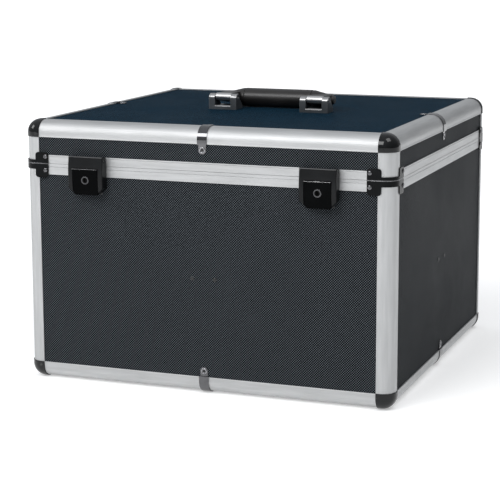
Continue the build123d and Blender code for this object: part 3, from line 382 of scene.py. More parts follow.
def black_coat(
    name, colour, roughness_level, grain, depth, edge, rub_and_highlight=0.0, wear_and_highlight_part=Paint.upper_slopes, **constants
):
    """Black moulded or coated surface: a fine grain of some depth, slight clouding and a few grey rubs. A
    bright metal grey shows where the coat has gone through and where a highlight is painted on upper slopes;
    one argument gives how bright it is, and the other finds where it goes."""
    paint = Paint(name, **constants)
    pebble = paint.noise(grain, detail=3.0)
    clouds = paint.noise(scale=25.0, detail=4.0)
    base = paint.mix(clouds.ramp(0.4, 0.8), colour, shade(colour, 1.7))
    base = paint.mix((clouds * pebble).ramp(0.36, 0.5) * 0.3, base, shade(colour, 3.5))
    roughness = roughness_level + (clouds - 0.5) * 0.14 + (pebble - 0.5) * 0.08
    # Metal grey where the coat has gone through, and a painted highlight where the finder picks upper slopes
    if rub_and_highlight > 0:
        wear_and_highlight = wear_and_highlight_part(paint)
        base = paint.mix(wear_and_highlight, base, (rub_and_highlight, rub_and_highlight, rub_and_highlight))
        paint.feed(Metallic=wear_and_highlight)
    return paint.feed(Base_Color=base, Roughness=roughness, Normal=paint.bump(pebble, depth, edge))


def round_the_pins(paint):
    """1 within an eye's radius of the handle's pins."""
    low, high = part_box("handle_pins")
    _, y, z = paint.axes(paint.place)
    y, z = y - (low.y + high.y) / 2, z - (low.z + high.z) / 2
    return 1.0 - ((y * y + z * z) ** 0.5).ramp(HANDLE_EYE, HANDLE_EYE + 0.4 * MM)


def edges_and_slopes(paint):
    """1 on the upper slopes, for a painted highlight, and less on the other edges, for wear."""
    return paint.upper_slopes().most(paint.edges(0.5 * MM) * 0.35)


def bracket_coat(name, colour):
    """Black coat of the seam brackets, rubbed to metal where the lid's half lands on the base's half; this
    lighter band along the seam also paints the highlight of the edges that meet there.
    """
    paint = Paint(name, Specular_IOR_Level=0.07)
    pebble = paint.noise(scale=900.0, detail=3.0)
    clouds = paint.noise(scale=25.0, detail=4.0)
    from_seam = (paint.axes(paint.place)[Z] - SEAM_Z).size()
    # Painted highlight and wear together: a lighter metal band along the seam
    wear_and_highlight = (1.0 - from_seam.ramp(0.25 * MM, 0.75 * MM)) * clouds.ramp(0.3, 0.5)
    coat = paint.mix(clouds.ramp(0.4, 0.8), colour, shade(colour, 1.7))
    base = paint.mix(wear_and_highlight, coat, (0.30, 0.30, 0.31))
    roughness = 0.22 + (clouds - 0.5) * 0.14 + (pebble - 0.5) * 0.08
    normal = paint.bump(pebble, 0.02 * MM, edge=0.4 * MM)
    return paint.feed(Base_Color=base, Metallic=wear_and_highlight, Roughness=roughness, Normal=normal)


def key_metal(name):
    """Key plugs: a dark chrome collar round a black face, told apart by the distance from the plug's axis.
    The two plugs mirror each other, so the distance is worked out from the size of x."""
    paint = Paint(name, Specular_IOR_Level=0.03)
    low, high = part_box("key_cylinder_right")
    across, _, up = paint.axes(paint.place)
    centre_z = high.z - (high.x - low.x) / 2
    centre_x = (low.x + high.x) / 2
    reach = ((across.size() - centre_x) ** 2.0 + (up - centre_z) ** 2.0) ** 0.5
    dark = 1.0 - reach.ramp(KEY_FACE, KEY_FACE + 0.4 * MM)
    scuffs = paint.noise(scale=220.0, detail=4.0)
    bright = paint.mix(scuffs.ramp(0.4, 0.8), (0.07, 0.07, 0.073), (0.04, 0.04, 0.043))
    base = paint.mix(dark, bright, (0.002, 0.002, 0.002))
    roughness = 0.14 + dark * 0.20 + (scuffs - 0.5) * 0.12
    normal = paint.bump(scuffs, 0.02 * MM, edge=0.3 * MM)
    return paint.feed(Base_Color=base, Metallic=1.0 - dark, Roughness=roughness, Normal=normal)


def foam_finish(name, colour):
    """Open-cell foam: small round pores, painted darker as the shade inside them, over a coarser unevenness.
    """
    paint = Paint(name, Roughness=0.95, Sheen_Weight=0.25)
    pores = paint.cells(900.0)
    coarse = paint.noise(scale=90.0, detail=4.0)
    # Painted shade: the pores are darker where the surface dips into them
    base = paint.mix(pores.ramp(0.05, 0.55), shade(colour, 0.35), shade(colour, 1.5))
    base = paint.mix(coarse.ramp(0.35, 0.75) * 0.5, base, shade(colour, 1.3))
    return paint.feed(Base_Color=base, Normal=paint.bump(pores.ramp(0.0, 0.6) + coarse * 0.6, 0.5 * MM))


def made_finish(name):
    """A finish that the finishes operator made earlier."""
    found = bpy.data.materials.get(name)
    if found is None:
        raise RuntimeError(f"the finish {name} isn't made yet")
    return found


def curve_smoother():
    """A node group that joins a node's loose triangles and shades them smooth up to a limit of angle."""
    group = bpy.data.node_groups.get("Smooth curves")
    if group:
        return group
    group = bpy.data.node_groups.new("Smooth curves", "GeometryNodeTree")
    for way in ("INPUT", "OUTPUT"):
        group.interface.new_socket("Geometry", in_out=way, socket_type="NodeSocketGeometry")
    nodes = Nodes(group)
    loose = nodes.node("NodeGroupInput", {}, {}, "Geometry")
    joining = {"Geometry": loose, "Distance": JOIN_WITHIN}
    joined = nodes.node("GeometryNodeMergeByDistance", {}, joining, "Geometry")
    smooth = nodes.node("GeometryNodeSetShadeSmooth", {}, {"Geometry": joined}, "Geometry")
    angle = nodes.node("GeometryNodeInputMeshEdgeAngle", {}, {}, "Unsigned Angle")
    creasing = {"Geometry": smooth, "Selection": angle > SMOOTH_BELOW, "Shade Smooth": False}
    creased = nodes.node("GeometryNodeSetShadeSmooth", {"domain": "EDGE"}, creasing, "Geometry")
    nodes.node("NodeGroupOutput", {}, {"Geometry": creased})
    return group


def paint_node(name):
    """Gives a CAD node its finish, and shades its curved faces smooth without touching its mesh."""
    node = NODES[name]
    if not node.material_slots:
        raise RuntimeError(f"{name} has no material slot")
    finish = next(finish for pattern, finish in FINISH_OF if fnmatch(name, pattern))
    for slot in node.material_slots:
        slot.material = made_finish(finish)
    smooth = node.modifiers.new("Smooth curves", "NODES")
    smooth.node_group = curve_smoother()


def make_piece(name, points, faces, finish, body, slot):
    """Turns arrays of points and faces into a smooth mesh object that rides on a body."""
    mesh = bpy.data.meshes.new(name)
    mesh.from_pydata(np.asarray(points, float).reshape(-1, 3).tolist(), [], faces)
    mesh.polygons.foreach_set("use_smooth", np.ones(len(mesh.polygons), bool))
    mesh.materials.append(made_finish(finish))
    piece = bpy.data.objects.new(name, mesh)
    bpy.context.scene.collection.objects.link(piece)
    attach(piece, body)
    return piece


def around(count):
    """Angles spread evenly round a circle."""
    return np.linspace(0, 2 * math.pi, count, endpoint=False)


def grid_faces(rows, columns):
    """Quads of a grid whose columns close on themselves."""
    row = np.arange(rows - 1)[:, None] * columns
    column = np.arange(columns)[None, :]
    next_row = row + columns
    next_column = (column + 1) % columns
    corners = (row + column, next_row + column, next_row + next_column, row + next_column)
    return np.stack(corners, axis=-1).reshape(-1, 4).tolist()


def fan_faces(middle, start, count):
    """Triangles between a middle point and the ring of points that begins at start."""
    here = np.arange(count)
    after = (here + 1) % count
    return np.stack([np.full(count, middle), start + here, start + after], axis=-1)


def join_shapes(shapes):
    """One shape out of several, each with its points and its faces."""
    every_point, every_face, count = [], [], 0
    for points, faces in shapes:
        every_point.append(points)
        every_face += [[index + count for index in face] for face in faces]
        count += len(points)
    return np.vstack(every_point), every_face


def spread(points, faces, places):
    """Copies of a shape: each place is a point and the way that the shape's own Z faces there."""
    copies = []
    for origin, facing in places:
        normal = np.array(facing, float)
        side = np.cross((0.0, 0.0, 1.0) if abs(normal[Z]) < 0.5 else (1.0, 0.0, 0.0), normal)
        turned = np.stack([side, np.cross(normal, side), normal])
        copies.append((points @ turned + np.array(origin), faces))
    return join_shapes(copies)


def head_mesh(radii, heights, count, pole_height):
    """A fastener head in its own coordinates: rings of points at the given radii, with heights worked out
    for every ring and angle, a pole on top and a flat pole underneath."""
    x = radii[:, None] * np.cos(around(count))
    y = radii[:, None] * np.sin(around(count))
    rings = np.stack([x, y, np.broadcast_to(heights, x.shape)], axis=-1).reshape(-1, 3)
    points = np.vstack([rings, [[0, 0, pole_height], [0, 0, -SINK]]])
    top, under = len(points) - 2, len(points) - 1
    faces = grid_faces(len(radii), count)
    faces += fan_faces(top, 0, count).tolist()
    faces += fan_faces(under, len(rings) - count, count)[:, ::-1].tolist()
    return points, faces


def ring_rivet(rim, hole, height, count=36):
    """A tubular rivet: from the middle outwards a disc just above the strap, a rim rolled to a half circle,
    and a flat underside. The third value is 1 for the faces of the disc, which fill the rivet's hollow and are
    painted black as the shade inside it."""
    roll = np.linspace(0, math.pi, 9)[1:]
    middle, half = (rim + hole) / 2, (rim - hole) / 2
    radii = np.concatenate([[0.5 * hole, hole], middle - half * np.cos(roll)])
    heights = np.concatenate([[SINK, SINK], height * np.sin(roll[:-1]), [-SINK]])
    points, faces = head_mesh(radii, heights[:, None], count, SINK)
    hollow = np.zeros(len(faces), int)
    hollow[:count] = 1
    hollow[-2 * count : -count] = 1
    return points, faces, hollow


def domed_head(radius, height, count=28):
    """A domed rivet head: its height falls with the square of the distance from the middle, to a quarter at
    the rim."""
    radii = np.linspace(0.18, 1.0, 7) * radius
    heights = height * (1 - 0.75 * (radii / radius) ** 2)
    radii = np.append(radii, radius)
    heights = np.append(heights, -SINK)
    return head_mesh(radii, heights[:, None], count, height)


def cross_head(radius, height, count=64):
    """A pan head with a cross recess. Its height falls with the cube of the distance from the middle, to
    half at the rim, less the recess where a point lies on one of two bars."""
    radii = np.concatenate([np.linspace(0.06, 0.62, 12), np.linspace(0.68, 1.0, 5)]) * radius
    x = radii[:, None] * np.cos(around(count))
    y = radii[:, None] * np.sin(around(count))
    dome = height * (1 - 0.5 * (radii[:, None] / radius) ** 3)
    half_bar, bar_reach, recess = 0.13 * radius, 0.6 * radius, 0.55 * height
    on_bar = np.minimum(np.abs(x), np.abs(y)) < half_bar
    inside = radii[:, None] < bar_reach
    heights = np.where(on_bar & inside, dome - recess, dome)
    radii = np.append(radii, radius)
    heights = np.vstack([heights, np.full((1, count), -SINK)])
    return head_mesh(radii, heights, count, height - recess)


def tube(path, radius, count=12):
    """A round wire along a path: a circle in the plane square to the path at each of its points, with both
    ends closed on a middle point."""
    slant = (0.13, 0.57, 0.81)
    along = np.gradient(path, axis=0)
    along /= np.linalg.norm(along, axis=1, keepdims=True)
    side = np.cross(along, slant)
    side /= np.linalg.norm(side, axis=1, keepdims=True)
    over = np.cross(along, side)
    turn = around(count)[None, :, None]
    rings = path[:, None, :] + radius * (np.cos(turn) * side[:, None, :] + np.sin(turn) * over[:, None, :])
    points = np.vstack([rings.reshape(-1, 3), path[:1], path[-1:]])
    start, end = len(points) - 2, len(points) - 1
    faces = [face[::-1] for face in grid_faces(len(path), count)]
    faces += fan_faces(start, 0, count)[:, ::-1].tolist()
    faces += fan_faces(end, start - count, count).tolist()
    return points, faces


def slab_samples(low, high, radius, step):
    """Places along one side of a slab: close together at its rounded ends and evenly spread between them."""
    ends = radius * (1 - np.cos(np.linspace(0, math.pi / 2, 5)))
    middle = np.linspace(low + radius, high - radius, max(int((high - low) / step), 2))
    return np.concatenate([low + ends[:-1], middle, (high - ends[:-1])[::-1]])


def soft_slab(low, high, radius, step, relief):
    """A foam slab: a box's surface sampled on six grids, each point moved out from the box shrunk by the
    radius, so that the edges are round, and then shifted along Z by the relief there."""
    sides = [slab_samples(low[axis], high[axis], radius, step) for axis in (X, Y, Z)]
    points, faces, count = [], [], 0
    for axis in (X, Y, Z):
        first, second = (axis + 1) % 3, (axis + 2) % 3
        u, v = np.meshgrid(sides[first], sides[second], indexing="ij")
        rows, columns = u.shape
        row, column = np.meshgrid(np.arange(rows - 1), np.arange(columns - 1), indexing="ij")
        corner = (row * columns + column).ravel()
        quads = np.stack([corner, corner + columns, corner + columns + 1, corner + 1], axis=-1)
        for level, order in ((high[axis], quads), (low[axis], quads[:, ::-1])):
            face_points = np.empty((rows * columns, 3))
            face_points[:, axis] = level
            face_points[:, first] = u.ravel()
            face_points[:, second] = v.ravel()
            points.append(face_points)
            faces.append(order + count)
            count += rows * columns
    points, faces = np.vstack(points), np.vstack(faces)
    core = np.clip(points, np.array(low) + radius, np.array(high) - radius)
    away = points - core
    points = core + radius * away / np.linalg.norm(away, axis=1, keepdims=True)
    points, owner = np.unique(np.round(points, 7), axis=0, return_inverse=True)
    points[:, Z] += relief(points)
    return points, owner.ravel()[faces].tolist()


def length_property(name, description, default, least=0.0):
    """A length, held in metres."""
    return FloatProperty(name=name, description=description, default=default, min=least, unit="LENGTH")


def colour_property(name, description, default):
    """A colour, with channels from 0 to 1."""
    return FloatVectorProperty(
        name=name, description=description, default=default, min=0.0, max=1.0, subtype="COLOR"
    )


class CaseFinishes(bpy.types.PropertyGroup):
    """Colours and surface detail of the case"""

    laminate_colour: colour_property("Laminate", "Colour of the panels", (0.034, 0.0385, 0.043))
    # The deck's blue tint is a painted reflection of the sky overhead
    deck_colour_and_painted_sky: colour_property(
        "Deck", "Colour of the lid's top panel, which is a little bluer", (0.0058, 0.019, 0.033)
    )
    aluminium_colour: colour_property("Aluminium", "Colour of the edge profiles", (0.495, 0.50, 0.503))
    black_colour: colour_property(
        "Black fittings", "Colour of brackets, latches, ball corners and handle", (0.004, 0.0045, 0.005)
    )
    foam_colour: colour_property("Foam", "Colour of the lining", (0.045, 0.045, 0.048))
    emboss_pitch: length_property(
        "Dot pitch", "Distance between neighbouring dots on the laminate", 2.45 * MM, least=1.0 * MM
    )
    emboss_depth: length_property("Dot height", "Height of the dots on the laminate", 0.15 * MM)


class CaseFasteners(bpy.types.PropertyGroup):
    """Sizes of the small fasteners"""

    ring_radius: length_property("Ring rivet", "Outer radius of a ring rivet", 4.8 * MM)
    ring_hole: length_property("Ring hole", "Radius of the hole in a ring rivet", 2.2 * MM)
    ring_height: length_property("Ring height", "How far a ring rivet stands out", 1.0 * MM)
    ring_from_edge: length_property("Ring place", "Ring rivet's distance from the case's edge", 31.0 * MM)
    screw_radius: length_property("Screw", "Radius of a bracket screw's head", 3.0 * MM)
    screw_height: length_property("Screw height", "Height of a bracket screw's head", 1.5 * MM)
    screw_from_corner: length_property("Screw place", "Bracket screw's distance from the corner", 33.5 * MM)
    base_screw_drop: length_property("Lower screw", "Lower screw's distance below the seam", 9.2 * MM)
    lid_screw_rise: length_property("Upper screw", "Upper screw's distance above the seam", 9.8 * MM)
    rivet_radius: length_property("Domed rivet", "Radius of a domed rivet's head", 3.0 * MM)
    rivet_offset: length_property("Rivet place", "Channel rivet's distance from the middle", 16.6 * MM)
    rivet_height: length_property("Rivet height", "Channel rivet's height above the bottom", 161.0 * MM)
    coil_turns: IntProperty(name="Spring turns", description="Turns of a flap spring", default=9, min=3)
    coil_radius: length_property("Spring radius", "Radius of a flap spring's coil", 2.15 * MM)


class CaseFoam(bpy.types.PropertyGroup):
    """Shape of the foam lining"""

    edge_radius: length_property("Foam edge", "Rounding of the cut foam's edges", 2.5 * MM)
    egg_pitch: length_property("Egg-box pitch", "Distance between peaks of the lid foam", 44.0 * MM)
    egg_depth: length_property("Egg-box depth", "Depth of the hollows of the lid foam", 9.0 * MM)


class CaseStage(bpy.types.PropertyGroup):
    """Studio floor, lights and camera"""

    floor_colour: colour_property("Floor", "Colour of the floor", (0.82, 0.82, 0.82))
    floor_lift: FloatProperty(
        name="Floor lift", description="How much the floor is lifted near the case", default=0.36, min=0.0
    )
    far_floor_lift: FloatProperty(
        name="Far floor lift", description="How much the floor further away is lifted", default=0.75, min=0.0
    )
    key_power: FloatProperty(
        name="Key light", description="Power of the key light", default=54.0, unit="POWER"
    )
    side_power: FloatProperty(
        name="Side lights", description="Power of each side light", default=17.0, unit="POWER"
    )
    world_strength: FloatProperty(
        name="World", description="Strength of the even light from all round", default=1.0, min=0.0
    )
    horizon_colour: colour_property("Horizon", "Colour of the light from the horizon", (0.36, 0.37, 0.38))
    zenith_colour: colour_property("Overhead", "Colour of the light from overhead", (0.68, 0.70, 0.73))
    right_shade: FloatProperty(
        name="Right shade", description="How much darker the right is", default=0.5, min=0.0, max=1.0
    )
    lens: FloatProperty(name="Lens", description="Focal length in millimetres", default=117.5, min=10.0)


class CASE_OT_stage(bpy.types.Operator):
    """Set up the floor, the lights and the camera"""

    bl_idname = "case.stage"
    bl_label = "Stage"

    def execute(self, context):
        settings = context.scene.case_stage
        context.scene.view_settings.view_transform = "Standard"
        self.add_camera(context, settings)
        self.add_floor(context, settings)
        for name, place, power, size in LAMPS:
            self.add_lamp(context, name, place, getattr(settings, power), size)
        self.add_world(context, settings)
        return {"FINISHED"}

    def add_camera(self, context, settings):
        """The camera stands where the photograph was taken from, turned 20 degrees and tipped down 10."""
        data = bpy.data.cameras.new("Camera")
        data.lens = settings.lens
        data.sensor_width = SENSOR_WIDTH
        data.sensor_fit = "HORIZONTAL"
        data.shift_x, data.shift_y = CAMERA_SHIFT
        data.clip_end = 100.0
        camera = bpy.data.objects.new("Camera", data)
        context.scene.collection.objects.link(camera)
        x, y, z = CAMERA_PLACE
        camera.location = (x, MID_Y + y, z + BOTTOM_Z)
        turn, tip, roll = (math.radians(angle) for angle in (CAMERA_TURN, CAMERA_TIP, CAMERA_ROLL))
        aim = Matrix.Rotation(turn, 3, "Z") @ Matrix.Rotation(math.pi / 2 + tip, 3, "X")
        camera.rotation_euler = (aim @ Matrix.Rotation(roll, 3, "Z")).to_euler()
        context.scene.camera = camera

    def add_floor(self, context, settings):
        """A pale floor that runs out of view. Where it is seen it is lifted towards white, more so further
        away, and keeps the shadow."""
        mesh = bpy.data.meshes.new("Floor")
        corners = [(x * FLOOR_HALF, y * FLOOR_HALF, 0) for x, y in ((-1, -1), (1, -1), (1, 1), (-1, 1))]
        mesh.from_pydata(corners, [], [(0, 1, 2, 3)])
        floor = bpy.data.objects.new("Floor", mesh)
        context.scene.collection.objects.link(floor)
        paint = Paint("Floor", Roughness=0.9, Emission_Strength=1.0)
        x, y, _ = paint.axes(paint.place)
        away = ((x * x + y * y) ** 0.5).ramp(0.35, 1.6)
        further = settings.far_floor_lift - settings.floor_lift
        lift = paint.seen_plainly() * (settings.floor_lift + away * further)
        speckle = paint.noise(scale=3.0, detail=2.0)
        colour = tuple(settings.floor_colour)
        base = paint.mix(speckle * 0.5, colour, shade(colour, 0.98))
        glow = paint.mix(lift, (0, 0, 0), (1, 1, 1))
        mesh.materials.append(paint.feed(Base_Color=base, Emission_Color=glow))

    def add_lamp(self, context, name, place, power, size):
        """A square soft box aimed at the middle of the case."""
        data = bpy.data.lights.new(name, "AREA")
        data.energy = power
        data.shape = "SQUARE"
        data.size = size
        lamp = bpy.data.objects.new(name, data)
        lamp.location = place
        aim = Vector(LAMP_TARGET) - Vector(place)
        lamp.rotation_euler = aim.to_track_quat("-Z", "Y").to_euler()
        context.scene.collection.objects.link(lamp)

    def add_world(self, context, settings):
        """Even light from all round: grey at the horizon, paler and faintly blue overhead, and darker on
        the right."""
        world = bpy.data.worlds.new("Studio")
        world.use_nodes = True
        nodes = Nodes(world.node_tree)
        way = nodes.node("ShaderNodeTexCoord", {}, {}, "Generated")
        across, _, up = nodes.axes(way)
        sky = nodes.mix(up.ramp(0.0, 0.9), tuple(settings.horizon_colour), tuple(settings.zenith_colour))
        sky = nodes.mix(across.ramp(-0.2, 1.0) * settings.right_shade, sky, (0.0, 0.0, 0.0))
        light = {"Color": sky, "Strength": settings.world_strength}
        background = nodes.node("ShaderNodeBackground", {}, light, "Background")
        nodes.node("ShaderNodeOutputWorld", {}, {"Surface": background})
        context.scene.world = world


class CASE_OT_finishes(bpy.types.Operator):
    """Mix the finishes and give every CAD node its own"""

    bl_idname = "case.finishes"
    bl_label = "Finishes"

    def execute(self, context):
        settings = context.scene.case_finishes
        self.mix_laminates(settings)
        aluminium("Aluminium across", X, settings)
        aluminium("Aluminium deep", Y, settings)
        aluminium("Aluminium upright", Z, settings)
        aluminium("Aluminium band", X, settings, turn_on_sides=True)
        self.mix_black_finishes(tuple(settings.black_colour))
        plated("Bright plate", (0.13, 0.13, 0.135), roughness_level=0.08)
        plated("Ring rivet", (0.26, 0.26, 0.27), roughness_level=0.12)
        plated("Dark screw", (0.12, 0.12, 0.125), roughness_level=0.16)
        plated("Zinc", (0.55, 0.55, 0.53), roughness_level=0.34)
        key_metal("Key plug")
        foam_finish("Foam", tuple(settings.foam_colour))
        for name in NODES:
            paint_node(name)
        return {"FINISHED"}

    @staticmethod
    def mix_laminates(settings):
        """The laminates, each with the two axes of its panels."""
        dark = tuple(settings.laminate_colour)
        laminate("Laminate front", X, Z, dark, settings)
        # The side panels get a darker copy of the laminate: painted shade on the case's sides
        laminate("Laminate side", Y, Z, shade(dark, 0.62), settings)
        # The flat panels' blue tint is a painted reflection of the sky overhead
        laminate("Laminate flat", X, Y, tuple(settings.deck_colour_and_painted_sky), settings, gloss=0.003)
        laminate("Divider long", X, Z, dark, settings, top_edge_ply=True)
        laminate("Divider cross", Y, Z, dark, settings, top_edge_ply=True)

    @staticmethod
    def mix_black_finishes(black):
        """The finishes of corners, brackets, latches and handle, all made from one black."""
        warm = (black[0] * 1.3, black[1], black[2] * 0.85)
        black_coat(
            "Ball corner",
            black,
            roughness_level=0.10,
            grain=300.0,
            depth=0.01 * MM,
            edge=0.3 * MM,
            Specular_IOR_Level=0.32,
        )
        bracket_coat("Bracket black", black)
        black_coat(
            "Black coat",
            shade(black, 1.3),
            roughness_level=0.34,
            grain=900.0,
            depth=0.02 * MM,
            edge=0.4 * MM,
        )
        # The latch cover and its flap get a painted highlight in metal grey on their upper slopes
        black_coat(
            "Latch black",
            black,
            roughness_level=0.34,
            grain=1100.0,
            depth=0.02 * MM,
            edge=0.8 * MM,
            rub_and_highlight=0.14,
            Specular_IOR_Level=0.18,
        )
        # The flap's face is painted in a darker copy of the black, as painted shade
        black_coat(
            "Flap black",
            shade(black, 0.4),
            roughness_level=0.22,
            grain=1100.0,
            depth=0.01 * MM,
            edge=0.8 * MM,
            rub_and_highlight=0.20,
            Specular_IOR_Level=0.02,
        )
        black_coat(
            "Handle black",
            shade(warm, 1.6),
            roughness_level=0.36,
            grain=1500.0,
            depth=0.05 * MM,
            edge=0.7 * MM,
            rub_and_highlight=0.50,
            wear_and_highlight_part=round_the_pins,
        )
        # The handle brackets get a painted highlight on their upper slopes and wear on their other edges
        black_coat(
            "Handle bracket",
            shade(black, 9.0),
            roughness_level=0.32,
            grain=900.0,
            depth=0.02 * MM,
            edge=0.6 * MM,
            rub_and_highlight=0.40,
            wear_and_highlight_part=edges_and_slopes,
        )


class CASE_OT_ring_rivets(bpy.types.Operator):
    """Set a ring rivet on both tabs of every edge strap"""

    bl_idname = "case.ring_rivets"
    bl_label = "Ring rivets"

    def execute(self, context):
        settings = context.scene.case_fasteners
        *shape, hollow = ring_rivet(settings.ring_radius, settings.ring_hole, settings.ring_height)
        inset = settings.ring_from_edge
        for name, level, up, body in (
            ("bottom_ring_rivets", BOTTOM_Z, 1, "base"),
            ("top_ring_rivets", TOP_Z, -1, "lid"),
        ):
            places = []
            for plane, facing in WALLS:
                upright = plane - facing * STRAP_SKIN
                places.append((Vector((upright.x, upright.y, level + up * inset)), facing))
                flat = plane - facing * inset
                places.append((Vector((flat.x, flat.y, level + up * STRAP_SKIN)), Vector((0, 0, -up))))
            points, faces = spread(*shape, places)
            piece = make_piece(name, points, faces, "Ring rivet", body, "chrome")
            # The disc in each rivet's hollow is painted black: painted shade inside the hole
            piece.data.materials.append(made_finish("Black coat"))
            piece.data.polygons.foreach_set("material_index", np.tile(hollow, len(places)))
        return {"FINISHED"}


class CASE_OT_bracket_screws(bpy.types.Operator):
    """Set a cross-head screw in every ear of the seam brackets"""

    bl_idname = "case.bracket_screws"
    bl_label = "Bracket screws"

    def execute(self, context):
        settings = context.scene.case_fasteners
        shape = cross_head(settings.screw_radius, settings.screw_height)
        inset = settings.screw_from_corner
        for name, height, body in (
            ("base_bracket_screws", SEAM_Z - settings.base_screw_drop, "base"),
            ("lid_bracket_screws", SEAM_Z + settings.lid_screw_rise, "lid"),
        ):
            places = []
            for side in (-1, 1):
                for wall_y, way in ((FRONT_Y, -1), (BACK_Y, 1)):
                    face_y = wall_y + way * BRACKET_SKIN
                    places.append(((side * (HALF_WIDTH - inset), face_y, height), (0, way, 0)))
                    face_x = side * (HALF_WIDTH + BRACKET_SKIN)
                    places.append(((face_x, wall_y - way * inset, height), (side, 0, 0)))
            points, faces = spread(*shape, places)
            make_piece(name, points, faces, "Dark screw", body, "zinc")
        return {"FINISHED"}


class CASE_OT_rivets(bpy.types.Operator):
    """Set the domed rivets of the divider channels and of the rear hinges"""

    bl_idname = "case.rivets"
    bl_label = "Domed rivets"

    def execute(self, context):
        settings = context.scene.case_fasteners
        head_height = 0.35 * settings.rivet_radius
        shape = domed_head(settings.rivet_radius, head_height)
        places = []
        for plane, facing in WALLS:
            along = Vector((0, 0, 1)).cross(facing)
            for side in (-1, 1):
                place = plane - facing * PANEL_SKIN + along * side * settings.rivet_offset
                places.append((place + Vector((0, 0, BOTTOM_Z + settings.rivet_height)), facing))
        points, faces = spread(*shape, places)
        make_piece("channel_rivets", points, faces, "Black coat", "base", "black_steel")
        row_share, spacing = 0.27, 0.32 * HINGE_WIDTH
        for name, node, body in (
            ("base_hinge_rivets", "hinge_base_leaves", "base"),
            ("lid_hinge_rivets", "hinge_lid_leaves", "lid"),
        ):
            low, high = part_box(node)
            far_edge = low.z if body == "base" else high.z
            row = far_edge + (SEAM_Z - far_edge) * row_share
            places = []
            for centre in (low.x + HINGE_WIDTH / 2, high.x - HINGE_WIDTH / 2):
                places += [((centre + step * spacing, BACK_Y, row), (0, 1, 0)) for step in (-1, 0, 1)]
            points, faces = spread(*shape, places)
            make_piece(name, points, faces, "Zinc", body, "zinc")
        return {"FINISHED"}


class CASE_OT_flap_springs(bpy.types.Operator):
    """Wind the spring on each flap pin, with a leg on the lock plate and a leg behind the flap"""

    bl_idname = "case.flap_springs"
    bl_label = "Flap springs"

    def execute(self, context):
        settings = context.scene.case_fasteners
        turns, coil_radius = settings.coil_turns, settings.coil_radius
        low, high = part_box("flap_pins")
        pin_y, pin_z = (low.y + high.y) / 2, (low.z + high.z) / 2
        wire, pitch_in_wires, points_a_turn = 0.38 * MM, 2.6, 20
        leg_down, leg_up = 2.0 * MM, 9.0 * MM
        length = turns * wire * pitch_in_wires
        for side in ("left", "right"):
            low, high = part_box(f"lock_body_{side}")
            middle = (low.x + high.x) / 2
            turn = np.linspace(0, turns * 2 * math.pi, turns * points_a_turn + 1)
            x = middle + length * (turn / turn[-1] - 0.5)
            y = pin_y + coil_radius * np.cos(turn)
            z = pin_z + coil_radius * np.sin(turn)
            coil = np.stack([x, y, z], axis=-1)
            down = np.linspace(leg_down, 0.0, 8, endpoint=False)[:, None] * (0, 0, -1)
            up = np.linspace(0.0, leg_up, 9)[1:, None] * (0, 0, 1)
            points, faces = tube(np.vstack([coil[0] + down, coil, coil[-1] + up]), wire)
            make_piece(f"flap_spring_{side}", points, faces, "Zinc", "base", "zinc")
        return {"FINISHED"}


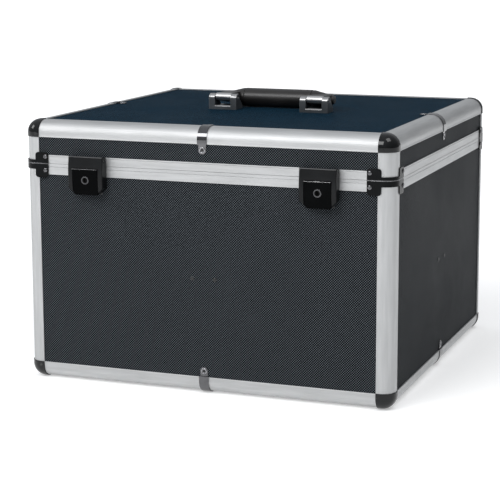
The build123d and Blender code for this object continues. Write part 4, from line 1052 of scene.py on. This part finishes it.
class CASE_OT_foam(bpy.types.Operator):
    """Lay the floor foam, the wall pads and the egg-box foam in the lid"""

    bl_idname = "case.foam"
    bl_label = "Foam lining"

    def execute(self, context):
        settings = context.scene.case_foam
        coarse, fine, rim = 12 * MM, 4 * MM, 12 * MM
        lid_low, lid_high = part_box("lid_foam")

        def egg_box(points):
            """Peaks and hollows as the product of two cosines, on the underside only and fading to flat
            near its edges."""
            wave = 2 * math.pi / settings.egg_pitch
            hollow = 0.5 - 0.5 * np.cos(wave * points[:, X]) * np.cos(wave * (points[:, Y] - MID_Y))
            inset_x = np.minimum(points[:, X] - lid_low.x, lid_high.x - points[:, X])
            inset_y = np.minimum(points[:, Y] - lid_low.y, lid_high.y - points[:, Y])
            fade = np.clip(np.minimum(inset_x, inset_y) / rim - 0.3, 0, 1)
            under = points[:, Z] < lid_low.z + 0.1 * MM
            return np.where(under, settings.egg_depth * hollow * fade * fade * (3 - 2 * fade), 0.0)

        self.lay("floor_lining", "floor_foam", "base", [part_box("floor_foam")], coarse, self.uneven, settings)
        self.lay("wall_lining", "wall_foam", "base", self.wall_pads(), coarse, self.flat, settings)
        self.lay("lid_lining", "lid_foam", "lid", [(lid_low, lid_high)], fine, egg_box, settings)
        return {"FINISHED"}

    @staticmethod
    def flat(points):
        """No relief at all."""
        return np.zeros(len(points))

    @staticmethod
    def uneven(points):
        """A sheet that lies a little unevenly: two slow waves lower its top by 0 to 0.6 millimetres."""
        low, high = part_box("floor_foam")
        above = (points[:, Z] - low.z) / (high.z - low.z)
        waves = np.sin(points[:, X] * 23.0 + 0.8) + np.sin(points[:, Y] * 31.0 + points[:, X] * 9.0)
        return -0.3 * MM * above * (1 + 0.5 * waves)

    @staticmethod
    def wall_pads():
        """The boxes of the eight wall pads, worked out from the box of them all and the channels between."""
        low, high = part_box("wall_foam")
        past_corner = PAD_THICKNESS + PAD_GAP
        pads = []
        for side in (-1, 1):
            y0 = low.y if side < 0 else high.y - PAD_THICKNESS
            for x0, x1 in ((low.x, -PAD_FROM_MIDDLE), (PAD_FROM_MIDDLE, high.x)):
                pads.append((Vector((x0, y0, low.z)), Vector((x1, y0 + PAD_THICKNESS, high.z))))
            x0 = low.x if side < 0 else high.x - PAD_THICKNESS
            for y0, y1 in (
                (low.y + past_corner, MID_Y - PAD_FROM_MIDDLE),
                (MID_Y + PAD_FROM_MIDDLE, high.y - past_corner),
            ):
                pads.append((Vector((x0, y0, low.z)), Vector((x0 + PAD_THICKNESS, y1, high.z))))
        return pads

    @staticmethod
    def lay(name, node, body, boxes, step, relief, settings):
        """One piece of foam over its CAD node, as one or more slabs."""
        slabs = [soft_slab(low, high, settings.edge_radius, step, relief) for low, high in boxes]
        piece = make_piece(name, *join_shapes(slabs), "Foam", body, "foam")
        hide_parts(node)


class CASE_PT_panel(bpy.types.Panel):
    """The case's tools in the sidebar"""

    bl_idname = "CASE_PT_panel"
    bl_label = "Flight case"
    bl_space_type = "VIEW_3D"
    bl_region_type = "UI"
    bl_category = "Flight case"

    def draw(self, context):
        for operator in OPERATORS:
            self.layout.operator(operator.bl_idname)
        for group in GROUPS:
            settings = getattr(context.scene, group)
            box = self.layout.box()
            for key in settings.bl_rna.properties.keys():
                if key not in ("rna_type", "name"):
                    box.prop(settings, key)


GROUPS = {
    "case_finishes": CaseFinishes,
    "case_fasteners": CaseFasteners,
    "case_foam": CaseFoam,
    "case_stage": CaseStage,
}
OPERATORS = (
    CASE_OT_stage,
    CASE_OT_finishes,
    CASE_OT_ring_rivets,
    CASE_OT_bracket_screws,
    CASE_OT_rivets,
    CASE_OT_flap_springs,
    CASE_OT_foam,
)


def register():
    """Add the case's settings, operators and panel to Blender."""
    for group, kind in GROUPS.items():
        bpy.utils.register_class(kind)
        setattr(bpy.types.Scene, group, PointerProperty(type=kind))
    for kind in (*OPERATORS, CASE_PT_panel):
        bpy.utils.register_class(kind)


def unregister():
    """Take them out again."""
    for kind in reversed((*OPERATORS, CASE_PT_panel)):
        bpy.utils.unregister_class(kind)
    for group, kind in GROUPS.items():
        delattr(bpy.types.Scene, group)
        bpy.utils.unregister_class(kind)


def main():
    """Dress the case and set the stage."""
    register()
    bpy.ops.case.stage()
    bpy.ops.case.finishes()
    bpy.ops.case.ring_rivets()
    bpy.ops.case.bracket_screws()
    bpy.ops.case.rivets()
    bpy.ops.case.flap_springs()
    bpy.ops.case.foam()


if __name__ == "__main__":
    main()
